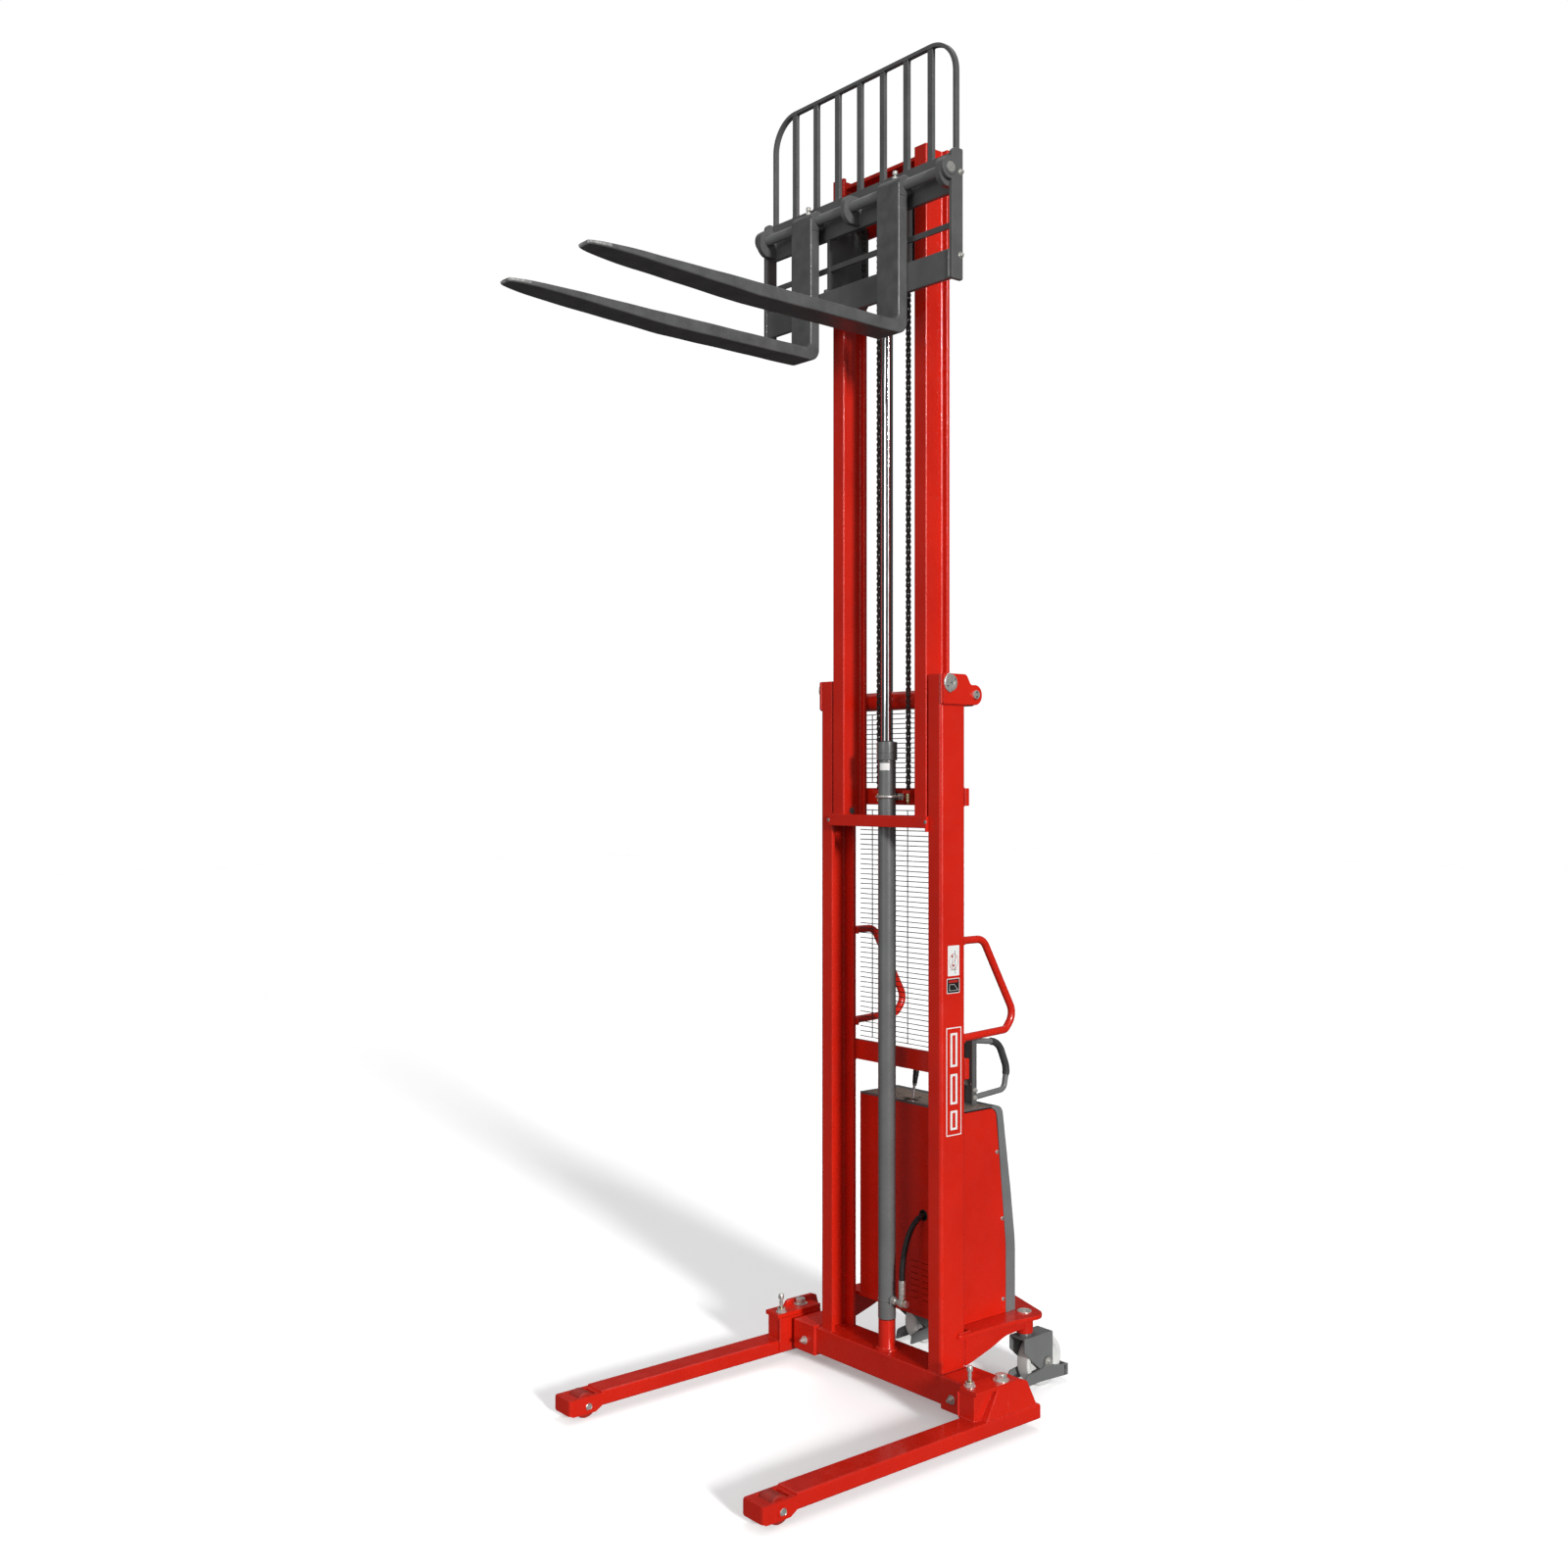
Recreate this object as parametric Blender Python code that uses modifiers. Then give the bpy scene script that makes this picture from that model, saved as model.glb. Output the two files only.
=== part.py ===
"""Walkie stacker with a two-stage mast, forks on a shaft, adjustable straddle legs and a power pack.

Units are metres, +Z is up, the forks point along -Y and the operator stands at +Y. The mast is drawn fully
raised. Every size below is in the machine's own frame, whose Y runs from the front face of the mast columns;
one parent empty then moves the machine so that the middle of its length is at Y = 0. Left and right are the
operator's, so left is +X.
"""

import math

import bmesh
import bpy
from mathutils import Matrix, Vector

# Driving dimensions
MAST_FRONT = 0.305      # where the front face of the mast columns stands along Y
GAP = 0.0003            # between pieces that touch

BEAM_BOTTOM, BEAM_TOP = 0.052, 0.130
COLUMN_OUT = 0.256      # outer faces of the fixed columns
COLUMN_IN = 0.204       # inner edges of their flanges
COLUMN_DEPTH = 0.098
COLUMN_TOP = 2.089
FLANGE, WEB = 0.012, 0.010

INNER_OUT, INNER_IN = 0.198, 0.150
INNER_FRONT, INNER_BACK = -0.002, 0.094
INNER_BOTTOM, INNER_TOP = 1.655, 3.588

CYLINDER_Y = 0.034
BARREL_R, BARREL_BORE, ROD_R = 0.026, 0.0225, 0.0175
BARREL_BOTTOM, BARREL_TOP = 0.217, 1.849
GLAND_TOP = 1.903

CHAIN_X = 0.062
PULLEY_Y, PULLEY_Z, PULLEY_R = 0.0305, 3.462, 0.0305
CHAIN_HALF_WIDTH, CHAIN_HALF_DEPTH = 0.008, 0.0055

ROLLER_Y_OUTER, ROLLER_R_OUTER = 0.049, 0.0365
ROLLER_Y_INNER, ROLLER_R_INNER = 0.046, 0.0355
STUB_R, STUB_BORE = 0.010, 0.0105

SHAFT_Y, SHAFT_Z, SHAFT_R = -0.110, 3.434, 0.0145
FORK_X, FORK_WIDTH, FORK_THICK = 0.185, 0.090, 0.035
FORK_FRONT, FORK_TOP, FORK_TIP = -0.140, 3.056, -1.130
BACKREST_TOP = 3.810

LEG_X, LEG_WIDTH = 0.426, 0.078
LEG_FRONT, LEG_BACK = -0.810, 0.177
LEG_BOTTOM, LEG_TOP = 0.027, 0.068
LOAD_WHEEL_Y, LOAD_WHEEL_R = -0.747, 0.0355

PLATE_BOTTOM, PLATE_TOP = 0.216, 0.228
CASTER_X, CASTER_Y, CASTER_TRAIL = 0.237, 0.366, 0.064
CASTER_WHEEL_R = 0.075

HOUSING_X, HOUSING_FRONT = 0.210, 0.120
HOUSING_TOP, SHEET = 0.8345, 0.0025
COVER_TOP = 0.841
LEVER_X, LEVER_Y, LEVER_PIVOT_Z = -0.020, 0.152, 0.802

GUARD_X = (-0.202, -0.153, 0.0, 0.153, 0.202)

SIDES = (("left", 1), ("right", -1))

for old in list(bpy.data.objects):
    bpy.data.objects.remove(old, do_unlink=True)

stacker = bpy.data.collections.new("walkie_stacker")
cutters = bpy.data.collections.new("cutters")
bpy.context.scene.collection.children.link(stacker)
bpy.context.scene.collection.children.link(cutters)
machine = bpy.data.objects.new("machine_frame", None)
machine.location = (0, MAST_FRONT, 0)
stacker.objects.link(machine)


def material(name, colour, roughness, metallic=0.0):
    made = bpy.data.materials.new(name)
    made.use_nodes = True
    shader = made.node_tree.nodes["Principled BSDF"]
    shader.inputs["Base Color"].default_value = (*colour, 1)
    shader.inputs["Roughness"].default_value = roughness
    shader.inputs["Metallic"].default_value = metallic
    return made


RED = material("red_paint", (0.62, 0.02, 0.01), 0.25)
GREY = material("grey_paint", (0.11, 0.11, 0.11), 0.45)
BARREL_GREY = material("barrel_paint", (0.15, 0.155, 0.155), 0.4)
CHROME = material("chrome_rod", (0.8, 0.8, 0.8), 0.08, 1.0)
ZINC = material("zinc_plate", (0.62, 0.61, 0.58), 0.3, 1.0)
STEEL = material("bare_steel", (0.45, 0.45, 0.45), 0.35, 1.0)
BLACK = material("black_steel", (0.02, 0.02, 0.02), 0.4, 0.5)
NYLON = material("white_nylon", (0.85, 0.85, 0.83), 0.4)
POLYURETHANE = material("red_polyurethane", (0.4, 0.03, 0.02), 0.5)
RUBBER = material("black_rubber", (0.02, 0.02, 0.02), 0.7)
PLASTIC = material("black_plastic", (0.03, 0.03, 0.03), 0.5)


def add(name, mesh, finish, at=(0, 0, 0)):
    """A new object of the machine, its mesh given relative to the point at, which is its origin."""
    thing = bpy.data.objects.new(name, mesh)
    thing.location = at
    thing.parent = machine
    mesh.materials.clear()
    mesh.materials.append(finish)
    stacker.objects.link(thing)
    return thing


def from_bmesh(name, work, finish, at=(0, 0, 0)):
    bmesh.ops.recalc_face_normals(work, faces=work.faces)
    mesh = bpy.data.meshes.new(name)
    work.to_mesh(mesh)
    work.free()
    return add(name, mesh, finish, at)


def box(name, low, high, finish=RED, at=(0, 0, 0)):
    low, high = Vector(low), Vector(high)
    work = bmesh.new()
    bmesh.ops.create_cube(work, size=1)
    bmesh.ops.scale(work, vec=high - low, verts=work.verts)
    bmesh.ops.translate(work, vec=(low + high) / 2 - Vector(at), verts=work.verts)
    return from_bmesh(name, work, finish, at)


def bar(name, start, end, radius, finish=STEEL, sides=18, at=(0, 0, 0), end_radius=None):
    """A round bar, or a cone where end_radius differs."""
    start, end = Vector(start), Vector(end)
    work = bmesh.new()
    bmesh.ops.create_cone(
        work,
        cap_ends=True,
        segments=sides,
        radius1=radius,
        radius2=radius if end_radius is None else end_radius,
        depth=(end - start).length,
    )
    turn = (end - start).to_track_quat("Z", "Y").to_matrix().to_4x4()
    place = Matrix.Translation((start + end) / 2 - Vector(at)) @ turn
    bmesh.ops.transform(work, matrix=place, verts=work.verts)
    mesh = from_bmesh(name, work, finish, at)
    mesh.data.shade_smooth()
    mesh.data.set_sharp_from_angle(angle=math.radians(40))
    return mesh


def rounded(corners, steps=3):
    """An outline's points from its corners (a, b, radius), with an arc at each corner that has a radius."""
    points = []
    for i, (a, b, radius) in enumerate(corners):
        here = Vector((a, b))
        if radius == 0:
            points.append(here)
            continue
        back = Vector(corners[i - 1][:2]) - here
        ahead = Vector(corners[(i + 1) % len(corners)][:2]) - here
        half = back.angle(ahead) / 2
        along = radius / math.tan(half)
        first, last = here + back.normalized() * along, here + ahead.normalized() * along
        centre = here + (back.normalized() + ahead.normalized()).normalized() * radius / math.sin(half)
        sweep = (first - centre).angle_signed(last - centre)
        for step in range(steps + 1):
            spoke = first - centre
            spoke.rotate(Matrix.Rotation(-sweep * step / steps, 2))
            points.append(centre + spoke)
    return points


# From an outline's (a, b) and the distance across it to the machine's x, y and z
PLANES = {
    "XY": Matrix.Identity(4),
    "YZ": Matrix(((0, 0, 1, 0), (1, 0, 0, 0), (0, 1, 0, 0), (0, 0, 0, 1))),
    "XZ": Matrix(((1, 0, 0, 0), (0, 0, 1, 0), (0, 1, 0, 0), (0, 0, 0, 1))),
}


def extruded(name, work, plane, low, high, finish, at):
    """The flat faces of work, given a thickness from low to high across their plane."""
    grown = bmesh.ops.extrude_face_region(work, geom=work.faces[:])
    moved = [item for item in grown["geom"] if isinstance(item, bmesh.types.BMVert)]
    bmesh.ops.translate(work, vec=(0, 0, high - low), verts=moved)
    place = Matrix.Translation(-Vector(at)) @ PLANES[plane] @ Matrix.Translation((0, 0, low))
    bmesh.ops.transform(work, matrix=place, verts=work.verts)
    return from_bmesh(name, work, finish, at)


def slab(name, outline, plane, low, high, finish=RED, at=(0, 0, 0)):
    work = bmesh.new()
    work.faces.new([work.verts.new((a, b, 0)) for a, b in outline])
    return extruded(name, work, plane, low, high, finish, at)


def turned(name, profile, axis, centre, finish=STEEL, steps=20, ring=False):
    """A profile (radius, along), turned about an axis through centre; ring closes it round a bore."""
    mesh = bpy.data.meshes.new(name)
    count = len(profile)
    edges = [(i, i + 1) for i in range(count - 1)]
    if ring:
        edges.append((count - 1, 0))
    mesh.from_pydata([(radius, 0, along) for radius, along in profile], edges, [])
    thing = add(name, mesh, finish, centre)
    thing.rotation_euler = {"X": (0, math.pi / 2, 0), "Y": (-math.pi / 2, 0, 0), "Z": (0, 0, 0)}[axis]
    screw = thing.modifiers.new("turn", "SCREW")
    screw.steps = steps
    screw.render_steps = steps
    screw.use_merge_vertices = True
    screw.merge_threshold = 1e-5
    return thing


def wire(name, points, radius, finish, resolution=3):
    """A round wire or tube through its points, as a curve with filled ends."""
    curve = bpy.data.curves.new(name, "CURVE")
    curve.dimensions = "3D"
    curve.bevel_depth = radius
    curve.bevel_resolution = resolution
    curve.use_fill_caps = True
    spline = curve.splines.new("POLY")
    spline.points.add(len(points) - 1)
    for point, place in zip(spline.points, points):
        point.co = (*place, 1)
    thing = bpy.data.objects.new(name, curve)
    thing.parent = machine
    curve.materials.append(finish)
    stacker.objects.link(thing)
    return thing


def bent(points, steps=4):
    """A path in the YZ plane from its corners (x, y, z, radius), with an arc at each inner corner."""
    path = [Vector(points[0][:3])]
    for before, (x, y, z, radius), after in zip(points, points[1:], points[2:]):
        here = Vector((x, y, z))
        back = (Vector(before[:3]) - here).normalized()
        ahead = (Vector(after[:3]) - here).normalized()
        half = back.angle(ahead) / 2
        along = radius / math.tan(half)
        centre = here + (back + ahead).normalized() * radius / math.sin(half)
        first, last = here + back * along - centre, here + ahead * along - centre
        first, last = first.normalized(), last.normalized()
        path += [centre + first.slerp(last, step / steps) * radius for step in range(steps + 1)]
    path.append(Vector(points[-1][:3]))
    return path


def as_helper(thing):
    stacker.objects.unlink(thing)
    cutters.objects.link(thing)
    thing.hide_render = True
    thing.display_type = "WIRE"


def combine(target, operation, others):
    for other in others:
        as_helper(other)
        modifier = target.modifiers.new(other.name, "BOOLEAN")
        modifier.operation = operation
        modifier.object = other
    return target


def join(target, *others):
    return combine(target, "UNION", others)


def cut(target, *others):
    return combine(target, "DIFFERENCE", others)


def mirrored(low, high, side):
    """The corners of a box that is given for the left side, on the side asked for."""
    xs = sorted((low[0] * side, high[0] * side))
    return (xs[0], *low[1:]), (xs[1], *high[1:])


def side_box(name, low, high, side, finish=RED, at=(0, 0, 0)):
    return box(name, *mirrored(low, high, side), finish, at)


def side_bar(name, x_from, x_to, y, z, radius, side, finish=STEEL, sides=18, at=(0, 0, 0)):
    return bar(name, (x_from * side, y, z), (x_to * side, y, z), radius, finish, sides, at)


def side_slab(name, outline, low, high, side, finish=RED, at=(0, 0, 0)):
    ends = sorted((low * side, high * side))
    return slab(name, outline, "YZ", *ends, finish, at)


# The fixed frame

def crossbeam():
    """The hollow beam under the columns, with a wider receiver at each end for a leg's cross tube."""
    beam = box("base_crossbeam", (-0.283, -0.008, BEAM_BOTTOM), (0.283, 0.104, BEAM_TOP))
    for word, side in SIDES:
        join(beam, side_box(f"receiver_{word}", (0.270, -0.016, 0.044), (0.362, 0.112, 0.135), side))
    join(beam, bar("socket", (0, CYLINDER_Y, 0.12), (0, CYLINDER_Y, BARREL_BOTTOM - GAP), 0.025, RED))
    return cut(beam, box("beam_hollow", (-0.4, 0.004, 0.060), (0.4, 0.092, 0.120)))


def column_outline(side):
    inner_web, inner_front = COLUMN_OUT - WEB, FLANGE
    corners = [
        (COLUMN_OUT, 0, 0.010),
        (COLUMN_OUT, COLUMN_DEPTH, 0.010),
        (COLUMN_IN, COLUMN_DEPTH, 0),
        (COLUMN_IN, COLUMN_DEPTH - FLANGE, 0),
        (inner_web, COLUMN_DEPTH - FLANGE, 0),
        (inner_web, inner_front, 0),
        (COLUMN_IN, inner_front, 0),
        (COLUMN_IN, 0, 0),
    ]
    return rounded([(a * side, b, radius) for a, b, radius in corners], 3)


def ear_outline():
    """The lug plate beside a column's top: a plate with a round ear behind it."""
    return rounded(
        [
            (0.002, 2.004, 0),
            (0.002, 2.092, 0),
            (0.094, 2.092, 0),
            (0.112, 2.060, 0),
            (0.157, 2.064, 0.028),
            (0.157, 2.003, 0.028),
            (0.100, 2.004, 0),
        ]
    )


def outer_mast():
    """Two channel columns that open towards each other, with three rear ties and a lug plate on each top."""
    foot = BEAM_TOP + GAP
    frame = slab("outer_mast_frame", column_outline(1), "XY", foot, COLUMN_TOP)
    join(frame, slab("column_right", column_outline(-1), "XY", foot, COLUMN_TOP))
    for word, low, high in (("middle", 1.718, 1.768), ("lower", 0.943, 1.002)):
        join(frame, box(f"tie_{word}", (-0.255, COLUMN_DEPTH - 0.0015, low), (0.255, 0.114, high)))
    join(frame, bar("tie_top", (-0.2545, 0.1235, 2.028), (0.2545, 0.1235, 2.028), 0.028, RED, 24))
    for word, side in SIDES:
        join(
            frame,
            side_slab(f"lug_{word}", ear_outline(), COLUMN_OUT - 0.003, COLUMN_OUT + 0.008, side),
            side_bar(f"lug_disc_{word}", 0.258, 0.268, 0.030, 2.064, 0.024, side),
            side_bar(f"roller_stub_{word}", 0.1815, 0.250, ROLLER_Y_INNER, 2.045, STUB_R, side, sides=12),
            side_bar(f"lug_pin_{word}", 0.244, 0.272, 0.128, 2.033, 0.0125, side, sides=12),
            side_box(f"anchor_{word}", (0.048, 0.0505, 1.752), (0.076, 0.100, 1.762), side),
        )
    join(frame, box("clamp_seat", (-0.020, 0.0615, 1.725), (0.020, 0.099, 1.761)))
    return frame


def base_plate():
    """The plate under the power pack, its two side gussets and the stems that hold the casters."""
    half_outline = [
        (0.000, 0.118, 0),
        (0.2565, 0.118, 0),
        (0.2565, 0.062, 0),
        (0.2680, 0.062, 0),
        (0.2740, 0.250, 0),
        (0.2960, 0.395, 0.045),
        (0.1170, 0.458, 0.2),
        (0.000, 0.474, 0),
    ]
    other_half = [(-a, b, radius) for a, b, radius in half_outline[1:-1]]
    outline = rounded(half_outline + other_half[::-1], 4)
    plate = slab("base_plate", outline, "XY", PLATE_BOTTOM, PLATE_TOP)
    gusset = rounded(
        [
            (COLUMN_DEPTH + GAP, BEAM_TOP + 0.002, 0),
            (0.126, 0.138, 0),
            (0.205, 0.160, 0),
            (0.265, 0.182, 0),
            (0.345, 0.186, 0),
            (0.345, 0.220, 0),
            (COLUMN_DEPTH + GAP, 0.220, 0),
        ]
    )
    for word, side in SIDES:
        stem = bar(
            f"stem_{word}",
            (CASTER_X * side, CASTER_Y, 0.167),
            (CASTER_X * side, CASTER_Y, PLATE_BOTTOM + 0.004),
            0.025,
            RED,
        )
        disc = bar(
            f"stem_disc_{word}",
            (CASTER_X * side, CASTER_Y, PLATE_TOP - 0.004),
            (CASTER_X * side, CASTER_Y, PLATE_TOP + 0.003),
            0.021,
            ZINC,
        )
        join(plate, side_slab(f"gusset_{word}", gusset, 0.2440, 0.2560, side), stem, disc)
        bore = bar(
            f"stem_bore_{word}",
            (CASTER_X * side, CASTER_Y, 0.150),
            (CASTER_X * side, CASTER_Y, 0.215),
            0.0105,
            sides=20,
        )
        cut(plate, bore)
    return plate


# The power pack

def curved_back(inset):
    """The rear line of the power pack, from the plate up to the rounded top corner."""
    return [
        (0.3550 - inset, PLATE_TOP + GAP, 0),
        (0.3550 - inset, 0.430, 0.5),
        (0.3350 - 0.93 * inset, 0.593, 1.2),
        (0.2990 - 0.6 * inset, COVER_TOP - 0.4 * inset, 0.028),
    ]


def housing():
    """The red body: a front panel and two sides, open behind, above and below."""
    back = curved_back(0.040)
    outline = rounded(
        back[:3]
        + [
            (0.2790, 0.800, 0.2),
            (0.2720, HOUSING_TOP, 0.028),
            (HOUSING_FRONT, HOUSING_TOP, 0),
            (HOUSING_FRONT, PLATE_TOP + GAP, 0),
        ],
        5,
    )
    body = slab("power_pack_housing", outline, "YZ", -HOUSING_X, HOUSING_X)
    inside = HOUSING_X - SHEET
    cut(
        body,
        box("housing_hollow", (-inside, HOUSING_FRONT + SHEET, 0.2), (inside, 0.5, 0.9)),
        bar("hose_hole", (0.064, 0.10, 0.5164), (0.064, 0.14, 0.5164), 0.014),
    )
    return body


def rear_cover():
    """The grey sheet over the top and down the back of the power pack, with a rim turned in round the sides."""
    outer = rounded(
        curved_back(0)
        + [
            (HOUSING_FRONT, COVER_TOP, 0),
            (HOUSING_FRONT, HOUSING_TOP + GAP, 0),
            (0.2725, HOUSING_TOP + GAP, 0.0285),
            (0.2795, 0.800, 0.2),
            *[(a + 0.0004, b, radius) for a, b, radius in curved_back(0.040)[2::-1]],
        ],
        5,
    )
    cover = slab("rear_cover", outer, "YZ", -HOUSING_X, HOUSING_X, GREY)
    skin = 0.003
    hollow = rounded(
        curved_back(skin)[:3]
        + [
            (0.2960, COVER_TOP - skin, 0.026),
            (0.2000, COVER_TOP - skin, 0),
            (0.2000, 0.2, 0),
            (0.3520, 0.2, 0),
        ],
        5,
    )
    half = HOUSING_X - SHEET
    cut(
        cover,
        slab("cover_hollow", hollow, "YZ", -half, half),
        box("lever_slot", (LEVER_X - 0.009, 0.118, 0.83), (LEVER_X + 0.009, 0.192, 0.86)),
        bar("key_hole", (-0.140, 0.160, 0.82), (-0.140, 0.160, 0.86), 0.0105, sides=16),
    )
    bracket = box(
        "lever_bracket",
        (LEVER_X - 0.016, LEVER_Y - 0.012, LEVER_PIVOT_Z - 0.014),
        (LEVER_X - 0.012, LEVER_Y + 0.012, COVER_TOP - 0.001),
    )
    pin = bar(
        "lever_pin",
        (LEVER_X - 0.014, LEVER_Y, LEVER_PIVOT_Z),
        (LEVER_X + 0.008, LEVER_Y, LEVER_PIVOT_Z),
        0.004,
        sides=12,
    )
    return join(cover, bracket, pin)


def control_lever():
    """The lift and lower lever, leaning back a little, on its pin under the top sheet."""
    pivot = (LEVER_X, LEVER_Y, LEVER_PIVOT_Z)
    lean = Vector((0, math.sin(math.radians(10)), math.cos(math.radians(10))))
    foot = Vector(pivot)
    lever = side_bar("control_lever", LEVER_X - 0.005, LEVER_X + 0.005, *pivot[1:], 0.009, 1, CHROME, 20, pivot)
    stick = bar("lever_rod", foot + lean * 0.002, foot + lean * 0.088, 0.0045, CHROME, 12)
    grip = bar("lever_grip", foot + lean * 0.082, foot + lean * 0.126, 0.0075, PLASTIC, 16, end_radius=0.0095)
    join(lever, stick, grip)
    return cut(lever, bar("lever_bore", foot - Vector((0.02, 0, 0)), foot + Vector((0.02, 0, 0)), 0.0043, sides=12))


def key_switch():
    """The main switch: a round lock in the top sheet with its key."""
    centre = (-0.140, 0.160, COVER_TOP)
    lock = bar("key_switch", (-0.140, 0.160, 0.815), (-0.140, 0.160, COVER_TOP + 0.001), 0.0101, PLASTIC, 20, centre)
    bezel = bar(
        "key_bezel",
        (-0.140, 0.160, COVER_TOP + GAP),
        (-0.140, 0.160, COVER_TOP + 0.005),
        0.015,
        PLASTIC,
    )
    bow = box("key_bow", (-0.1412, 0.149, COVER_TOP + 0.004), (-0.1388, 0.171, COVER_TOP + 0.020))
    return join(lock, bezel, bow)


def power_unit():
    """What the housing holds: battery, oil tank, valve block and pump motor."""
    floor = PLATE_TOP + GAP
    battery = box("battery", (-0.190, 0.135, floor), (-0.015, 0.300, 0.440), PLASTIC)
    for x in (-0.165, -0.040):
        join(battery, bar(f"battery_post_{x}", (x, 0.160, 0.43), (x, 0.160, 0.455), 0.008, STEEL, 12))
    box("oil_tank", (0.020, 0.150, floor), (0.180, 0.300, 0.470), BLACK)
    block = box("valve_block", (0.038, 0.175, 0.4703), (0.150, 0.275, 0.545), STEEL)
    join(block, bar("block_port", (0.064, 0.1655, 0.5164), (0.064, 0.18, 0.5164), 0.011, STEEL, 12))
    motor = bar("pump_motor", (0.096, 0.225, 0.5453), (0.096, 0.225, 0.700), 0.055, BLACK)
    join(motor, bar("motor_cap", (0.096, 0.225, 0.695), (0.096, 0.225, 0.715), 0.048, BLACK))


def mesh_guard(name, low, high, openings):
    """A wire screen behind the mast, drawn with fewer wires than it has, each as a flat strip."""
    half_wire = 0.0015
    rows = [low + half_wire + i * (high - low - 2 * half_wire) / openings for i in range(openings + 1)]
    xs = [x + half_wire * turn for x in GUARD_X for turn in (-1, 1)]
    zs = [z + half_wire * turn for z in rows for turn in (-1, 1)]
    work = bmesh.new()
    grid = [[work.verts.new((x, z, 0)) for z in zs] for x in xs]
    for i in range(len(xs) - 1):
        for j in range(len(zs) - 1):
            if i % 2 == 0 or j % 2 == 0:
                work.faces.new((grid[i][j], grid[i + 1][j], grid[i + 1][j + 1], grid[i][j + 1]))
    return extruded(name, work, "XZ", 0.1143, 0.1173, BLACK, (0, 0, 0))


def push_handle(word, side):
    x = 0.230 * side
    start = COLUMN_DEPTH + GAP
    path = bent(
        [
            (x, start, 1.334, 0),
            (x, 0.196, 1.334, 0.040),
            (x, 0.327, 1.107, 0.045),
            (x, 0.290, 1.066, 0.020),
            (x, start + 0.0008, 1.056, 0),
        ]
    )
    return wire(f"push_handle_{word}", path, 0.011, RED, 3)


def side_handle():
    post = box("side_handle_post", (0.115, 0.221, COVER_TOP + GAP), (0.165, 0.241, 1.040), GREY)
    cut(post, box("post_channel", (0.1195, 0.2155, 0.86), (0.1605, 0.2365, 1.05)))
    path = bent(
        [
            (0.146, 0.2428, 1.026, 0),
            (0.146, 0.352, 1.012, 0.055),
            (0.146, 0.388, 0.930, 0.060),
            (0.146, 0.376, 0.868, 0.022),
            (0.146, 0.2428, 0.858, 0),
        ]
    )
    wire("side_handle", path, 0.0095, GREY, 3)


# The lift cylinder, chains and hose

def cylinder():
    base = BARREL_BOTTOM
    centre = (0, CYLINDER_Y, 0)
    turned(
        "cylinder_barrel",
        [
            (BARREL_R, BARREL_TOP),
            (BARREL_R, base),
            (0, base),
            (0, base + 0.018),
            (BARREL_BORE, base + 0.018),
            (BARREL_BORE, BARREL_TOP),
        ],
        "Z",
        centre,
        BARREL_GREY,
        ring=True,
    )
    turned(
        "cylinder_gland",
        [
            (0.030, GLAND_TOP),
            (0.030, BARREL_TOP + GAP),
            (ROD_R + 0.0004, BARREL_TOP + GAP),
            (ROD_R + 0.0004, GLAND_TOP),
        ],
        "Z",
        centre,
        BARREL_GREY,
        ring=True,
    )
    rod = turned(
        "piston_rod",
        [
            (0, 3.4897),
            (ROD_R, 3.4897),
            (ROD_R, 1.790),
            (BARREL_BORE - 0.0005, 1.790),
            (BARREL_BORE - 0.0005, 1.755),
            (0, 1.755),
        ],
        "Z",
        centre,
        CHROME,
    )
    ends = (-0.03, PULLEY_Y, PULLEY_Z), (0.03, PULLEY_Y, PULLEY_Z)
    cut(rod, bar("rod_cross_hole", *ends, 0.0084))


def cylinder_clamp():
    """The U-bolt that ties the barrel to the seat on the middle tie."""
    z, reach = 1.743, BARREL_R + 0.0045
    path = [Vector((reach, 0.0735, z))]
    for step in range(13):
        turn = math.radians(-180 * step / 12)
        path.append(Vector((reach * math.cos(turn), CYLINDER_Y + reach * math.sin(turn), z)))
    path.append(Vector((-reach, 0.0735, z)))
    return wire("cylinder_clamp", path, 0.004, ZINC, 2)


def hose_fitting():
    """The banjo fitting at the foot of the barrel, with the swaged end of the hose standing in it."""
    y, z, x = CYLINDER_Y, 0.276, 0.064
    fitting = bar("hose_fitting", (BARREL_R + GAP, y, z), (0.080, y, z), 0.0075, ZINC, 12)
    ring = bar("banjo_ring", (x - 0.008, y, z), (x + 0.008, y, z), 0.013, ZINC)
    head = bar("banjo_head", (0.074, y, z), (0.084, y, z), 0.011, ZINC, 6)
    nut = bar("banjo_nut", (0.028, y, z), (0.040, y, z), 0.012, ZINC, 6)
    sleeve = bar("hose_sleeve", (x, y, z + 0.008), (x, y, 0.3420), 0.0105, ZINC, 12)
    return join(fitting, ring, head, nut, sleeve)


HOSE_RADIUS = 0.0085
HOSE_ROUTE = [
    (0.064, 0.1652, 0.5164),
    (0.064, 0.150, 0.5164),
    (0.064, 0.135, 0.5164),
    (0.064, 0.120, 0.5160),
    (0.064, 0.105, 0.5125),
    (0.064, 0.089, 0.5030),
    (0.064, 0.073, 0.4870),
    (0.064, 0.060, 0.4660),
    (0.064, 0.049, 0.4400),
    (0.064, 0.041, 0.4120),
    (0.064, 0.036, 0.3850),
    (0.064, 0.034, 0.3620),
    (0.064, 0.034, 0.3423),
]


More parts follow.
